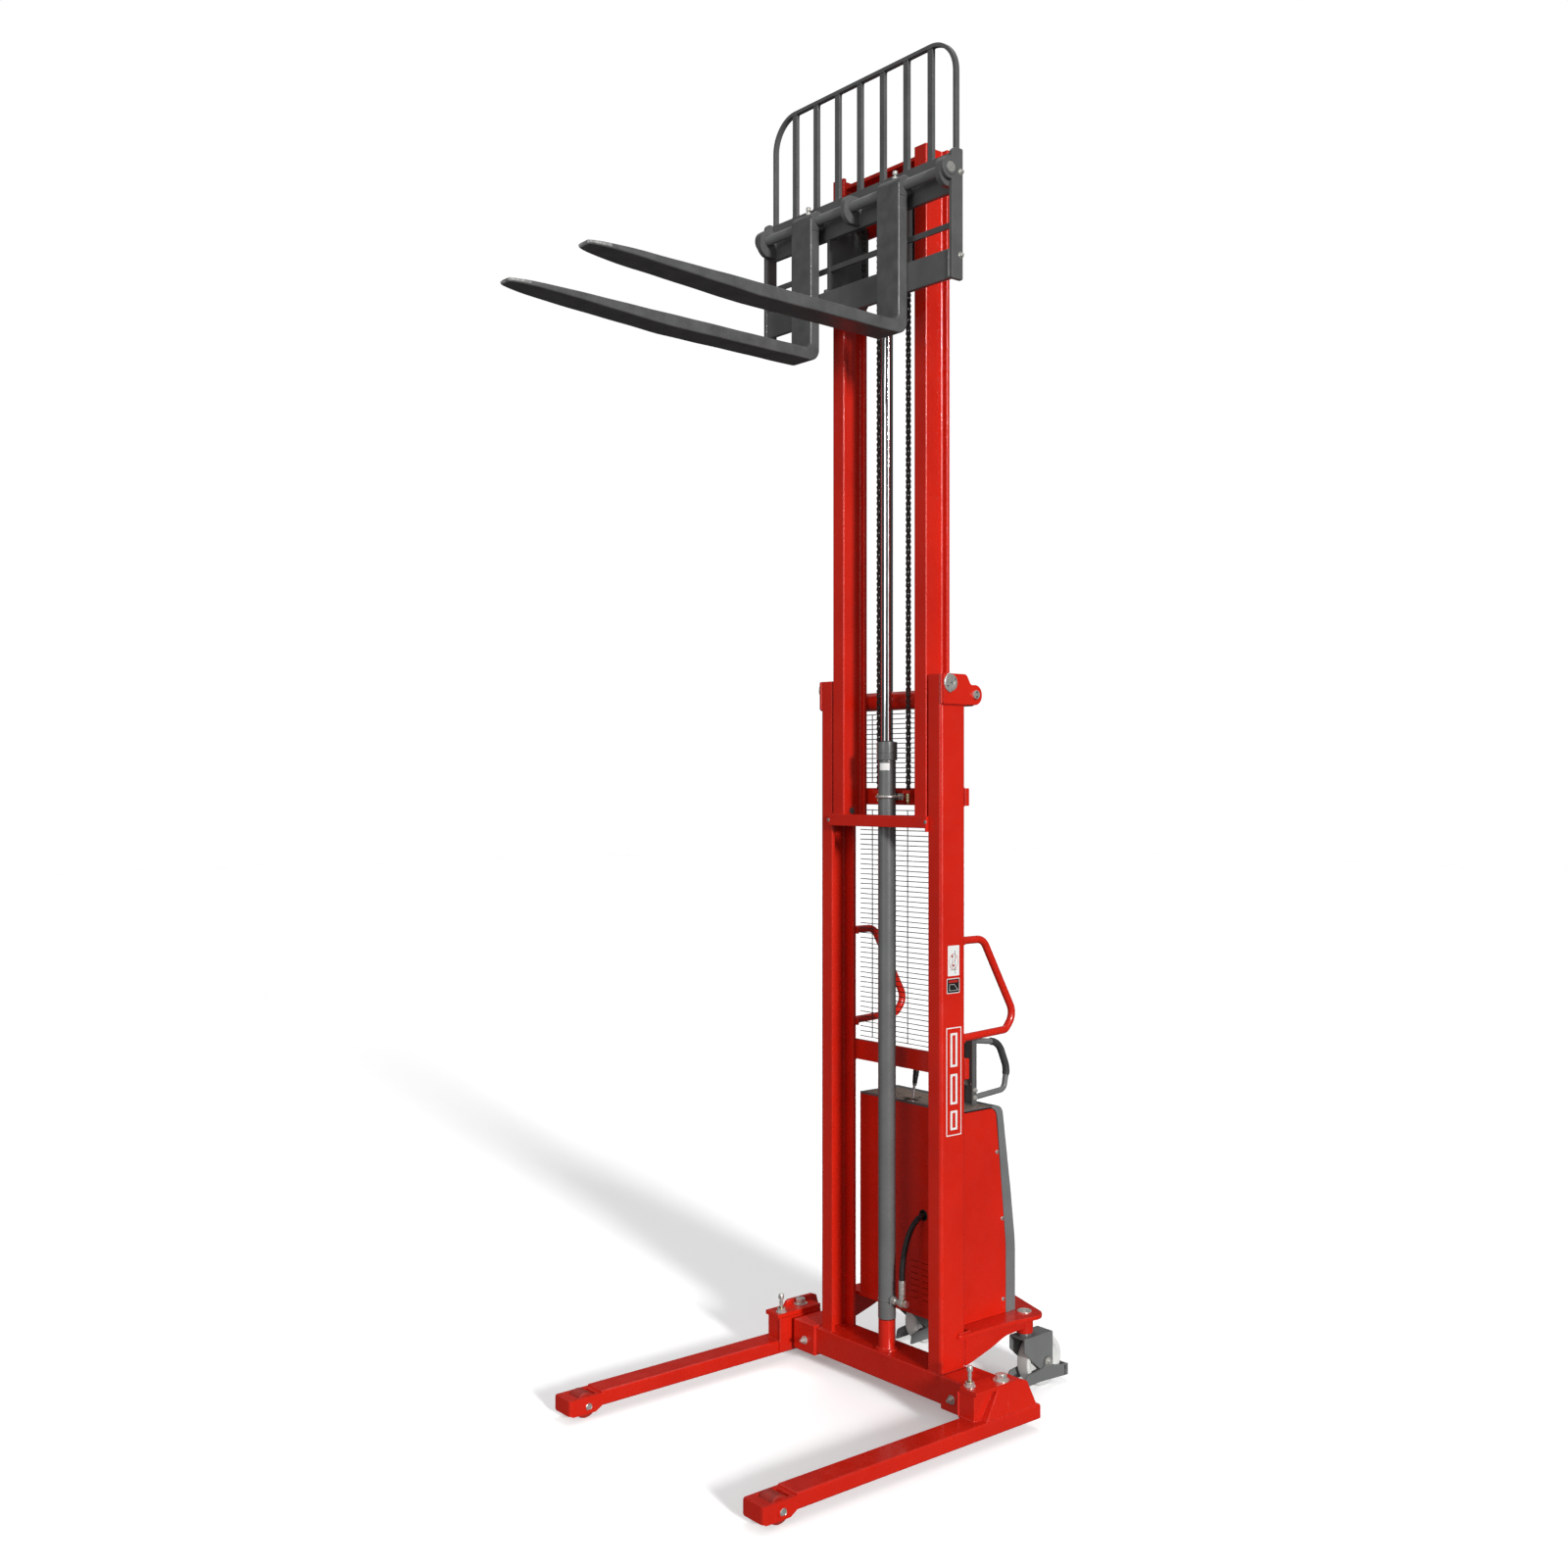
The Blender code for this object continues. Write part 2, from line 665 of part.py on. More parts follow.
def chain_runs(word, side):
    """One lift chain: the run from the fixed anchor up to the pulley, and the run down to the carriage."""
    x = CHAIN_X * side
    wide, deep = CHAIN_HALF_WIDTH, CHAIN_HALF_DEPTH
    rear, front = PULLEY_Y + PULLEY_R, PULLEY_Y - PULLEY_R
    over = PULLEY_Z - GAP
    box(f"chain_rear_{word}", (x - wide, rear - deep, 1.7623), (x + wide, rear + deep, over), BLACK)
    box(f"chain_front_{word}", (x - wide, front - deep, 3.2073), (x + wide, front + deep, over), BLACK)


def chain_pulley(word, side):
    """A grooved pulley with the chain that lies over its upper half."""
    width, rim = 0.009, PULLEY_R - CHAIN_HALF_DEPTH - 0.0006
    return turned(
        f"chain_pulley_{word}",
        [(rim, width), (rim, -width), (0.0085, -width), (0.0085, width)],
        "X",
        (CHAIN_X * side, PULLEY_Y, PULLEY_Z),
        STEEL,
        ring=True,
    )


# The moving mast

def inner_column(name, side):
    middle = (INNER_OUT + INNER_IN) / 2
    front, back = INNER_FRONT, INNER_BACK
    half_web = WEB / 2
    corners = [
        (INNER_IN, front),
        (INNER_OUT, front),
        (INNER_OUT, front + FLANGE),
        (middle + half_web, front + FLANGE),
        (middle + half_web, back - FLANGE),
        (INNER_OUT, back - FLANGE),
        (INNER_OUT, back),
        (INNER_IN, back),
        (INNER_IN, back - FLANGE),
        (middle - half_web, back - FLANGE),
        (middle - half_web, front + FLANGE),
        (INNER_IN, front + FLANGE),
    ]
    return slab(name, [(a * side, b) for a, b in corners], "XY", INNER_BOTTOM, INNER_TOP)


def inner_mast():
    """Two I-section columns, the crosshead with the pulley ears, the front tie bar and the roller stubs."""
    frame = inner_column("inner_mast_frame", 1)
    join(frame, inner_column("inner_column_right", -1))
    join(frame, box("crosshead_back", (-0.155, INNER_BACK - 0.011, 3.420), (0.155, INNER_BACK - 0.001, 3.566)))
    join(frame, box("crosshead_top", (-0.155, 0.004, 3.554), (0.155, INNER_BACK - 0.004, 3.565)))
    join(frame, box("crosshead_seat", (-0.094, 0.004, 3.490), (0.094, INNER_BACK - 0.006, 3.510)))
    join(frame, box("front_tie", (-0.208, INNER_FRONT - 0.011, 1.6554), (0.208, INNER_FRONT + 0.001, 1.6895)))
    for word, side in SIDES:
        ear = side_box(f"pulley_ear_{word}", (0.078, 0.012, 3.440), (0.086, 0.049, 3.495), side)
        hole = side_bar(f"ear_hole_{word}", 0.070, 0.095, PULLEY_Y, PULLEY_Z, 0.0083, side, sides=16)
        stub = side_bar(f"foot_stub_{word}", 0.170, 0.2375, ROLLER_Y_OUTER, 1.7000, STUB_R, side, sides=12)
        join(frame, ear, stub)
        cut(frame, hole)
    return frame


def roller(name, centre, radius, half_width):
    return turned(
        name,
        [(radius, half_width), (radius, -half_width), (STUB_BORE, -half_width), (STUB_BORE, half_width)],
        "X",
        centre,
        STEEL,
        16,
        True,
    )


# The carriage, backrest and forks

def carriage():
    """The fork carriage: cross bars and side bars in front of the mast, roller plates inside it."""
    back = -0.063
    frame = box("carriage_frame", (-0.389, -0.1045, 3.140), (0.389, -0.0895, 3.220), GREY)
    join(frame, box("upper_bar", (-0.389, -0.078, 3.382), (0.389, back, 3.453)))
    join(frame, box("middle_bar", (-0.389, -0.074, 3.288), (0.389, -0.066, 3.304)))
    eye = rounded(
        [
            (SHAFT_Y - 0.031, SHAFT_Z + 0.031, 0.030),
            (back - 0.004, SHAFT_Z + 0.031, 0),
            (back - 0.004, 3.386, 0),
            (SHAFT_Y - 0.010, 3.386, 0),
            (SHAFT_Y - 0.031, SHAFT_Z - 0.028, 0.030),
        ]
    )
    plate = [
        (-0.0900, 3.200),
        (0.0800, 3.200),
        (0.0800, 3.4525),
        (-0.0765, 3.4525),
        (-0.0765, 3.2350),
        (-0.0900, 3.2350),
    ]
    join(frame, slab("eye_middle", eye, "YZ", -0.008, 0.008, GREY))
    for word, side in SIDES:
        join(
            frame,
            side_box(f"side_bar_{word}", (0.3885, -0.1050, 3.138), (0.4005, back, 3.492), side),
            side_slab(f"eye_{word}", eye, 0.3720, 0.3885 + 0.002, side, GREY),
            side_slab(f"roller_plate_{word}", plate, 0.128, 0.140, side),
            side_box(f"carriage_anchor_{word}", (0.050, -0.0900, 3.195), (0.074, 0.0090, 3.207), side),
        )
        for z in (3.240, 3.410):
            join(frame, side_bar(f"stub_{word}_{z}", 0.130, 0.1675, ROLLER_Y_INNER, z, STUB_R, side, sides=12))
    return cut(frame, bar("shaft_bore", (-0.5, SHAFT_Y, SHAFT_Z), (0.5, SHAFT_Y, SHAFT_Z), SHAFT_R + 0.0003))


def backrest():
    """The load backrest: a bent flat bar with seven upright bars over an angle rail."""
    front, back = -0.0785, -0.0630
    side, bar_thick, corner = 0.3880, 0.008, 0.100
    low, top, rail_high = 3.4655, BACKREST_TOP, 0.025
    outline = [(-side, low, 0), (-side, top, corner), (side, top, corner), (side, low, 0)]
    frame = slab("load_backrest", rounded(outline, 5), "XZ", front, back, GREY)
    in_side, in_top, in_corner = side - bar_thick, top - bar_thick, corner - bar_thick
    floor = low + rail_high
    opening = [(-in_side, floor, 0), (-in_side, in_top, in_corner), (in_side, in_top, in_corner), (in_side, floor, 0)]
    cut(frame, slab("backrest_opening", rounded(opening, 5), "XZ", front - 0.01, back + 0.01))
    for i in range(7):
        x = (i - 3) * 0.096
        low_end, high_end = (x - 0.010, front + 0.004, floor - 0.010), (x + 0.010, back - 0.004, top - 0.004)
        join(frame, box(f"upright_{i}", low_end, high_end))
    return frame


def fork(word, side):
    """An L-shaped fork: hub on the shaft, shank, heel and a blade that thins and narrows to its tip."""
    x = FORK_X * side
    half = FORK_WIDTH / 2
    back, under = FORK_FRONT + FORK_THICK, FORK_TOP - FORK_THICK
    profile = rounded(
        [
            (back, SHAFT_Z, 0),
            (FORK_FRONT, SHAFT_Z, 0),
            (FORK_FRONT, FORK_TOP, 0.018),
            (FORK_TIP, FORK_TOP, 0.004),
            (FORK_TIP, FORK_TOP - 0.011, 0.004),
            (-0.640, under, 0),
            (back, under, 0.034),
        ],
        5,
    )
    blade = slab(f"fork_{word}", profile, "YZ", x - half, x + half, GREY, (x, SHAFT_Y, SHAFT_Z))
    join(blade, bar(f"hub_{word}", (x - half, SHAFT_Y, SHAFT_Z), (x + half, SHAFT_Y, SHAFT_Z), 0.027, GREY))
    start = (x - half - 0.01, SHAFT_Y, SHAFT_Z)
    cut(blade, bar(f"hub_bore_{word}", start, (x + half + 0.01, *start[1:]), SHAFT_R + 0.0004))
    for turn in (1, -1):
        corner = rounded(
            [
                (x + turn * (half + 0.010), FORK_TIP - 0.010, 0),
                (x + turn * 0.014, FORK_TIP - 0.010, 0),
                (x + turn * 0.030, FORK_TIP + 0.030, 0.05),
                (x + turn * half, FORK_TIP + 0.170, 0),
                (x + turn * (half + 0.010), FORK_TIP + 0.210, 0),
            ]
        )
        cut(blade, slab(f"tip_{word}_{turn}", corner, "XY", FORK_TOP - 0.1, FORK_TOP + 0.1))
    hole = (x, SHAFT_Y, SHAFT_Z + 0.020)
    cut(blade, bar(f"screw_hole_{word}", hole, (x, SHAFT_Y, SHAFT_Z + 0.05), 0.0044, sides=12))
    screw = bar(
        f"fork_lock_screw_{word}",
        (x, SHAFT_Y, SHAFT_Z + SHAFT_R + 0.007),
        (x, SHAFT_Y, SHAFT_Z + 0.048),
        0.004,
        ZINC,
        16,
    )
    join(screw, bar(f"screw_nut_{word}", (x, SHAFT_Y, SHAFT_Z + 0.0274), (x, SHAFT_Y, SHAFT_Z + 0.034), 0.009, ZINC, 6))
    join(screw, bar(f"screw_head_{word}", (x, SHAFT_Y, SHAFT_Z + 0.040), (x, SHAFT_Y, SHAFT_Z + 0.050), 0.0075, ZINC, 6))


# The straddle legs

def leg(word, side):
    """A box-beam leg with a fork-shaped tip for its load wheel, and the cross tube that slides in the beam."""
    inner, outer = LEG_X - LEG_WIDTH / 2, LEG_X + LEG_WIDTH / 2
    beam = side_box(f"straddle_leg_{word}", (inner, -0.700, LEG_BOTTOM), (outer, LEG_BACK, LEG_TOP), side)
    tip = rounded(
        [
            (LEG_FRONT, 0.022, 0),
            (LEG_FRONT, 0.063, 0),
            (-0.690, 0.063, 0),
            (-0.690, 0.034, 0),
            (-0.722, 0.016, 0),
            (LEG_FRONT + 0.012, 0.016, 0),
        ]
    )
    join(beam, side_slab(f"tip_block_{word}", tip, inner, outer, side))
    saddle = rounded(
        [
            (-0.040, LEG_TOP - 0.004, 0),
            (0.018, 0.152, 0),
            (0.124, 0.150, 0.015),
            (0.168, LEG_TOP + 0.010, 0),
            (0.170, LEG_TOP - 0.004, 0),
        ]
    )
    skirt = [(0.045, LEG_TOP - 0.005), (0.062, 0.122), (0.142, 0.122), (0.166, LEG_TOP + 0.006), (0.166, LEG_TOP - 0.005)]
    join(
        beam,
        side_slab(f"saddle_{word}", saddle, outer - 0.030, outer - 0.0145, side),
        side_slab(f"skirt_{word}", skirt, outer - 0.016, outer - 0.003, side),
        side_box(f"strap_{word}", (0.384, -0.060, 0.1372), (outer - 0.022, 0.112, 0.1490), side),
        side_box(f"web_{word}", (inner - 0.008, -0.058, LEG_TOP - 0.030), (inner + 0.050, 0.108, 0.1380), side),
        side_box(f"cross_tube_{word}", (0.120, 0.0055, 0.0615), (inner + 0.010, 0.0905, 0.1185), side),
    )
    cut(
        beam,
        side_box(f"tube_hollow_{word}", (0.110, 0.0105, 0.0665), (inner - 0.012, 0.0855, 0.1135), side),
        side_box(f"wheel_pocket_{word}", (inner + 0.013, -0.7900, 0.0), (outer - 0.013, -0.7050, 0.1), side),
        side_bar(f"axle_hole_{word}", inner - 0.01, outer + 0.01, LOAD_WHEEL_Y, LOAD_WHEEL_R, 0.0083, side, sides=16),
        bar(f"plunger_hole_{word}", (0.400 * side, -0.036, 0.12), (0.400 * side, -0.036, 0.16), 0.0073, sides=12),
    )
    return beam


def load_wheel(word, side):
    centre = (LEG_X * side, LOAD_WHEEL_Y, LOAD_WHEEL_R)
    half, r = 0.0245, LOAD_WHEEL_R
    profile = [(r - 0.002, half), (r, half - 0.002), (r, 0.002 - half), (r - 0.002, -half), (0.0084, -half), (0.0084, half)]
    turned(f"load_wheel_{word}", profile, "X", centre, POLYURETHANE, ring=True)
    ends = LEG_WIDTH / 2 + 0.002
    x = LEG_X * side
    bar(f"load_wheel_axle_{word}", (x - ends, *centre[1:]), (x + ends, *centre[1:]), 0.008, STEEL, 16)


def leg_plunger(word, side):
    """The spring pin that locks a leg at its width, drawn as a knob on a pin with a nut round it."""
    x, y, z = 0.400 * side, -0.036, 0.1493
    pin = bar(f"leg_lock_pin_{word}", (x, y, 0.1356), (x, y, z + 0.048), 0.0068, ZINC, 16, (x, y, z))
    join(pin, bar(f"pin_collar_{word}", (x, y, z), (x, y, z + 0.011), 0.0135, ZINC, 6))
    return join(pin, bar(f"pin_knob_{word}", (x, y, z + 0.040), (x, y, z + 0.056), 0.0095, ZINC, 12))


# The casters

def caster(word, side):
    x, y = CASTER_X * side, CASTER_Y
    axle_y, axle_z = y + CASTER_TRAIL, CASTER_WHEEL_R
    yoke = box(f"caster_fork_{word}", (x - 0.0296, 0.3334, 0.1530), (x + 0.0296, 0.4576, 0.1585), GREY, (x, y, 0.158))
    cheek = rounded(
        [
            (0.333, 0.1580, 0),
            (0.333, 0.118, 0),
            (axle_y - 0.020, 0.050, 0),
            (axle_y - 0.008, 0.040, 0),
            (0.458, 0.040, 0.012),
            (0.458, 0.1580, 0),
        ]
    )
    for i in (-1, 1):
        ends = sorted((x + i * 0.0300, x + i * 0.0255))
        join(yoke, slab(f"cheek_{word}_{i}", cheek, "YZ", *ends, GREY))
    join(
        yoke,
        bar(f"neck_{word}", (x, y, 0.156), (x, y, 0.1667), 0.020, GREY),
        bar(f"spigot_{word}", (x, y, 0.160), (x, y, 0.2146), 0.0100, STEEL, 16),
        bar(f"axle_{word}", (x - 0.047, axle_y, axle_z), (x + 0.047, axle_y, axle_z), 0.006, STEEL, 12),
    )
    for i in (-1, 1):
        head = bar(
            f"axle_nut_{word}_{i}", (x + i * 0.0405, axle_y, axle_z), (x + i * 0.047, axle_y, axle_z), 0.0105, ZINC, 6
        )
        join(yoke, head)
    r, half = CASTER_WHEEL_R, 0.0215
    profile = [
        (r - 0.004, half),
        (r, half - 0.004),
        (r, 0.004 - half),
        (r - 0.004, -half),
        (0.018, -0.0245),
        (0.0064, -0.0245),
        (0.0064, 0.0245),
        (0.018, 0.0245),
    ]
    turned(f"caster_wheel_{word}", profile, "X", (x, axle_y, axle_z), NYLON, ring=True)
    brake_pedal(word, x, axle_y, axle_z)


def brake_pedal(word, x, axle_y, axle_z):
    """The brake: two arms on the axle outside the fork, joined by a band behind the wheel."""
    arm = rounded(
        [
            (axle_y - 0.102, 0.019, 0),
            (axle_y - 0.030, 0.022, 0),
            (axle_y + 0.090, 0.016, 0),
            (axle_y + 0.090, 0.050, 0),
            (axle_y + 0.022, 0.056, 0),
            (axle_y + 0.013, 0.088, 0.012),
            (axle_y - 0.013, 0.088, 0.012),
            (axle_y - 0.016, 0.060, 0),
            (axle_y - 0.094, 0.050, 0),
        ]
    )
    at = (x, axle_y, axle_z)
    pedal = slab(f"brake_pedal_{word}", arm, "YZ", x + 0.0310, x + 0.0350, GREY, at)
    join(pedal, slab(f"brake_arm_{word}", arm, "YZ", x - 0.0350, x - 0.0310, GREY))
    rear = axle_y + 0.086
    join(pedal, box(f"brake_band_{word}", (x - 0.0345, rear, 0.017), (x + 0.0345, rear + 0.004, 0.049)))
    for i in (-1, 1):
        ends = (x + i * 0.028, axle_y, axle_z), (x + i * 0.038, axle_y, axle_z)
        cut(pedal, bar(f"arm_hole_{word}_{i}", *ends, 0.0064, sides=12))
    return pedal


crossbeam()
outer_mast()
base_plate()
housing()
rear_cover()
control_lever()
key_switch()
power_unit()
mesh_guard("mesh_guard_upper", 1.783, 1.990, 2)
mesh_guard("mesh_guard_lower", 1.011, 1.703, 7)
side_handle()
cylinder()
cylinder_clamp()
hose_fitting()
wire("hydraulic_hose", HOSE_ROUTE, HOSE_RADIUS, RUBBER, 2)
inner_mast()
bar("pulley_axle", (-0.0905, PULLEY_Y, PULLEY_Z), (0.0905, PULLEY_Y, PULLEY_Z), 0.008)
carriage()
backrest()
bar("fork_shaft", (-0.386, SHAFT_Y, SHAFT_Z), (0.386, SHAFT_Y, SHAFT_Z), SHAFT_R, GREY)
for word, side in SIDES:
    push_handle(word, side)
    chain_runs(word, side)
    chain_pulley(word, side)
    fork(word, side)
    leg(word, side)
    load_wheel(word, side)
    leg_plunger(word, side)
    caster(word, side)
    roller(f"outer_mast_roller_{word}", (0.1925 * side, ROLLER_Y_INNER, 2.045), ROLLER_R_INNER, 0.0100)
    roller(f"inner_mast_roller_{word}", (0.2225 * side, ROLLER_Y_OUTER, 1.700), ROLLER_R_OUTER, 0.0145)
    for place, z in (("lower", 3.240), ("upper", 3.410)):
        centre = (0.1540 * side, ROLLER_Y_INNER, z)
        roller(f"carriage_roller_{place}_{word}", centre, ROLLER_R_INNER, 0.0125)
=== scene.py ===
"""Looks of the walkie stacker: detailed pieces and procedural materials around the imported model.

Points are in metres in the machine's own frame, whose Y runs from the front face of the mast columns, and
MAST_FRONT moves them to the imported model's frame. Shapes of a pair are drawn for the left side and mirrored.
"""

import math

import bmesh
import bpy
from mathutils import Matrix, Vector
from mathutils.geometry import tessellate_polygon


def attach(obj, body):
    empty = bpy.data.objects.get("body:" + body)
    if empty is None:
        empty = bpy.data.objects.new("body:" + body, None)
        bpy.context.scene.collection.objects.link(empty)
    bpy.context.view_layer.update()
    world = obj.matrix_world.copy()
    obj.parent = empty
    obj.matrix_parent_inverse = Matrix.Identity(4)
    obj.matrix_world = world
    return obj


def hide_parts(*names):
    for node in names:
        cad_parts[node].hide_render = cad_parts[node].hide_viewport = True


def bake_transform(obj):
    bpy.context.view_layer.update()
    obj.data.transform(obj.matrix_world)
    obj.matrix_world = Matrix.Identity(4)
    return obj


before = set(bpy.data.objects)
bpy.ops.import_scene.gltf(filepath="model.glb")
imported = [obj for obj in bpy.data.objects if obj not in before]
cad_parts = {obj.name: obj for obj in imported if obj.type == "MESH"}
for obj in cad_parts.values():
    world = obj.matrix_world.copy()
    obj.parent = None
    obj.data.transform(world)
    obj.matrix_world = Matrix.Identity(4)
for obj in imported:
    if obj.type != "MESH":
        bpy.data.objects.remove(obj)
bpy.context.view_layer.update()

MAST_FRONT = 0.305
SIDES = (("left", 1), ("right", -1))
SMOOTH_ANGLE = math.radians(38)


# Materials

def node(tree, kind, **settings):
    made = tree.nodes.new(kind)
    for name, value in settings.items():
        if name in made.inputs:
            made.inputs[name].default_value = value
        else:
            setattr(made, name, value)
    return made


def noise(tree, coords, scale, detail=3.0, stretch=(1, 1, 1)):
    """A noise texture over the object's own coordinates, stretched along its axes."""
    mapping = node(tree, "ShaderNodeMapping")
    mapping.inputs["Scale"].default_value = stretch
    texture = node(tree, "ShaderNodeTexNoise", Scale=scale, Detail=detail)
    tree.links.new(coords.outputs["Object"], mapping.inputs["Vector"])
    tree.links.new(mapping.outputs["Vector"], texture.inputs["Vector"])
    return texture.outputs["Fac"]


def span(tree, value, low, high, to_low=0.0, to_high=1.0):
    """value carried from low..high to to_low..to_high, and held at the ends."""
    ranged = node(tree, "ShaderNodeMapRange")
    for name, number in (("From Min", low), ("From Max", high), ("To Min", to_low), ("To Max", to_high)):
        ranged.inputs[name].default_value = number
    tree.links.new(value, ranged.inputs["Value"])
    return ranged.outputs["Result"]


def mixed(tree, amount, first, second):
    mix = node(tree, "ShaderNodeMix", data_type="RGBA")
    mix.inputs[6].default_value = (*first, 1)
    mix.inputs[7].default_value = (*second, 1)
    tree.links.new(amount, mix.inputs[0])
    return mix.outputs[2]


def finish(name, colour, second, rough, metallic=0.0, coat=0.0, scale=9.0, spread=(0.35, 0.7),
           stretch=(1, 1, 1), bump=None, bump_stretch=(1, 1, 1), ior=1.5):
    """A surface of two tones, with uneven roughness and, if bump (scale, strength) is given, a fine bump."""
    made = bpy.data.materials.new(name)
    made.use_nodes = True
    tree = made.node_tree
    shader = tree.nodes["Principled BSDF"]
    shader.inputs["Metallic"].default_value = metallic
    shader.inputs["Coat Weight"].default_value = coat
    shader.inputs["Coat Roughness"].default_value = 0.08
    shader.inputs["IOR"].default_value = ior
    coords = node(tree, "ShaderNodeTexCoord")
    broad = noise(tree, coords, scale, 4.0, stretch)
    tree.links.new(mixed(tree, span(tree, broad, *spread), colour, second), shader.inputs["Base Color"])
    fine = noise(tree, coords, scale * 5, 3.0, stretch)
    tree.links.new(span(tree, fine, 0.3, 0.7, *rough), shader.inputs["Roughness"])
    if bump:
        relief = node(tree, "ShaderNodeBump", Strength=bump[1], Distance=0.001)
        tree.links.new(noise(tree, coords, bump[0], 2.0, bump_stretch), relief.inputs["Height"])
        tree.links.new(relief.outputs["Normal"], shader.inputs["Normal"])
    return made


RED = finish("glossy red enamel", (0.69, 0.018, 0.006), (0.61, 0.014, 0.005), (0.2, 0.34), coat=0.25,
             scale=5, bump=(420, 0.06))
WELD_RED = finish("red enamel over weld", (0.66, 0.019, 0.008), (0.56, 0.014, 0.006), (0.4, 0.55), coat=0.0,
                  scale=60, bump=(900, 0.15))
GREY = finish("grey enamel", (0.125, 0.126, 0.126), (0.1, 0.101, 0.101), (0.28, 0.44), coat=0.15,
              scale=14, bump=(500, 0.12))
PALE_GREY = finish("pale grey enamel", (0.19, 0.193, 0.193), (0.16, 0.163, 0.163), (0.28, 0.42), coat=0.15,
                   scale=10, bump=(450, 0.1))
WORN = finish("bared fork edge", (0.36, 0.36, 0.35), (0.16, 0.16, 0.16), (0.35, 0.6), metallic=0.3, scale=90,
              bump=(500, 0.2))
FORK_GREY = finish("forged fork enamel", (0.12, 0.121, 0.122), (0.078, 0.079, 0.079), (0.3, 0.5), coat=0.1,
                   scale=24, spread=(0.3, 0.75), bump=(160, 0.08))
BARREL = finish("cylinder enamel", (0.15, 0.155, 0.154), (0.125, 0.129, 0.128), (0.22, 0.34), coat=0.25,
                scale=6, bump=(380, 0.12))
CHROME = finish("hard chrome", (0.86, 0.87, 0.88), (0.78, 0.79, 0.8), (0.04, 0.1), metallic=1.0,
                scale=40, stretch=(1, 1, 0.1), bump=(700, 0.03), bump_stretch=(1, 1, 0.05))
ZINC = finish("zinc plate", (0.85, 0.84, 0.8), (0.68, 0.67, 0.62), (0.28, 0.45), metallic=0.75,
              scale=120, bump=(1400, 0.15))
STEEL = finish("machined steel", (0.52, 0.52, 0.51), (0.36, 0.355, 0.34), (0.24, 0.42), metallic=1.0,
               scale=60, bump=(1200, 0.2), bump_stretch=(1, 0.05, 0.05))
CHAIN_STEEL = finish("oiled chain steel", (0.09, 0.085, 0.08), (0.25, 0.24, 0.22), (0.22, 0.42),
                     metallic=0.6, scale=160, spread=(0.45, 0.8), bump=(1500, 0.2))
BLACK = finish("black enamel", (0.012, 0.012, 0.013), (0.022, 0.022, 0.023), (0.3, 0.45), scale=20,
               bump=(500, 0.15))
WIRE = finish("black coated wire", (0.018, 0.018, 0.019), (0.035, 0.034, 0.033), (0.3, 0.45), scale=90)
NYLON = finish("white nylon", (0.8, 0.8, 0.78), (0.7, 0.7, 0.67), (0.32, 0.48), scale=18, bump=(900, 0.08))
PU_RED = finish("red polyurethane", (0.42, 0.022, 0.012), (0.3, 0.016, 0.01), (0.38, 0.55), scale=40,
                bump=(600, 0.15))
RUBBER = finish("black hose rubber", (0.016, 0.016, 0.016), (0.03, 0.029, 0.028), (0.36, 0.55), scale=60,
                bump=(700, 0.3))
PLASTIC = finish("black moulded plastic", (0.016, 0.016, 0.017), (0.024, 0.024, 0.025), (0.32, 0.46),
                 scale=30, bump=(900, 0.25))
GRIP = finish("moulded grip", (0.05, 0.05, 0.051), (0.036, 0.036, 0.037), (0.45, 0.62), scale=30,
              bump=(800, 0.4))
PANEL = finish("bronze control panel", (0.35, 0.26, 0.21), (0.28, 0.21, 0.17), (0.12, 0.22), coat=0.4,
               scale=12, bump=(600, 0.05))
WHITE = finish("white label film", (0.86, 0.86, 0.84), (0.8, 0.8, 0.78), (0.25, 0.35), scale=30)
# Black for label print, and also painted shade: black discs, rods and crosses stand in for the dark inside of
# holes and screw recesses
BLACK_PRINT_AND_HOLE_SHADE = finish("black print and painted hole shade", (0.01, 0.01, 0.01), (0.018, 0.018, 0.018), (0.3, 0.4), scale=50)
PRINT_RED = finish("red print", (0.5, 0.02, 0.015), (0.44, 0.018, 0.014), (0.3, 0.4), scale=50)
BRASS = finish("yellow zinc", (0.62, 0.5, 0.28), (0.48, 0.4, 0.24), (0.22, 0.4), metallic=1.0, scale=130)


# Shapes

PLANES = {
    "XY": Matrix.Identity(4),
    "YZ": Matrix(((0, 0, 1, 0), (1, 0, 0, 0), (0, 1, 0, 0), (0, 0, 0, 1))),
    "XZ": Matrix(((1, 0, 0, 0), (0, 0, 1, 0), (0, 1, 0, 0), (0, 0, 0, 1))),
}


def rounded(corners, steps=6):
    """An outline's points from its corners (a, b, radius), with an arc at each corner that has a radius."""
    points = []
    for i, (a, b, radius) in enumerate(corners):
        here = Vector((a, b))
        if radius == 0:
            points.append(here)
            continue
        back = (Vector(corners[i - 1][:2]) - here).normalized()
        ahead = (Vector(corners[(i + 1) % len(corners)][:2]) - here).normalized()
        half = back.angle(ahead) / 2
        first = here + back * radius / math.tan(half)
        last = here + ahead * radius / math.tan(half)
        centre = here + (back + ahead).normalized() * radius / math.sin(half)
        sweep = (first - centre).angle_signed(last - centre)
        for step in range(steps + 1):
            spoke = first - centre
            spoke.rotate(Matrix.Rotation(-sweep * step / steps, 2))
            points.append(centre + spoke)
    return points


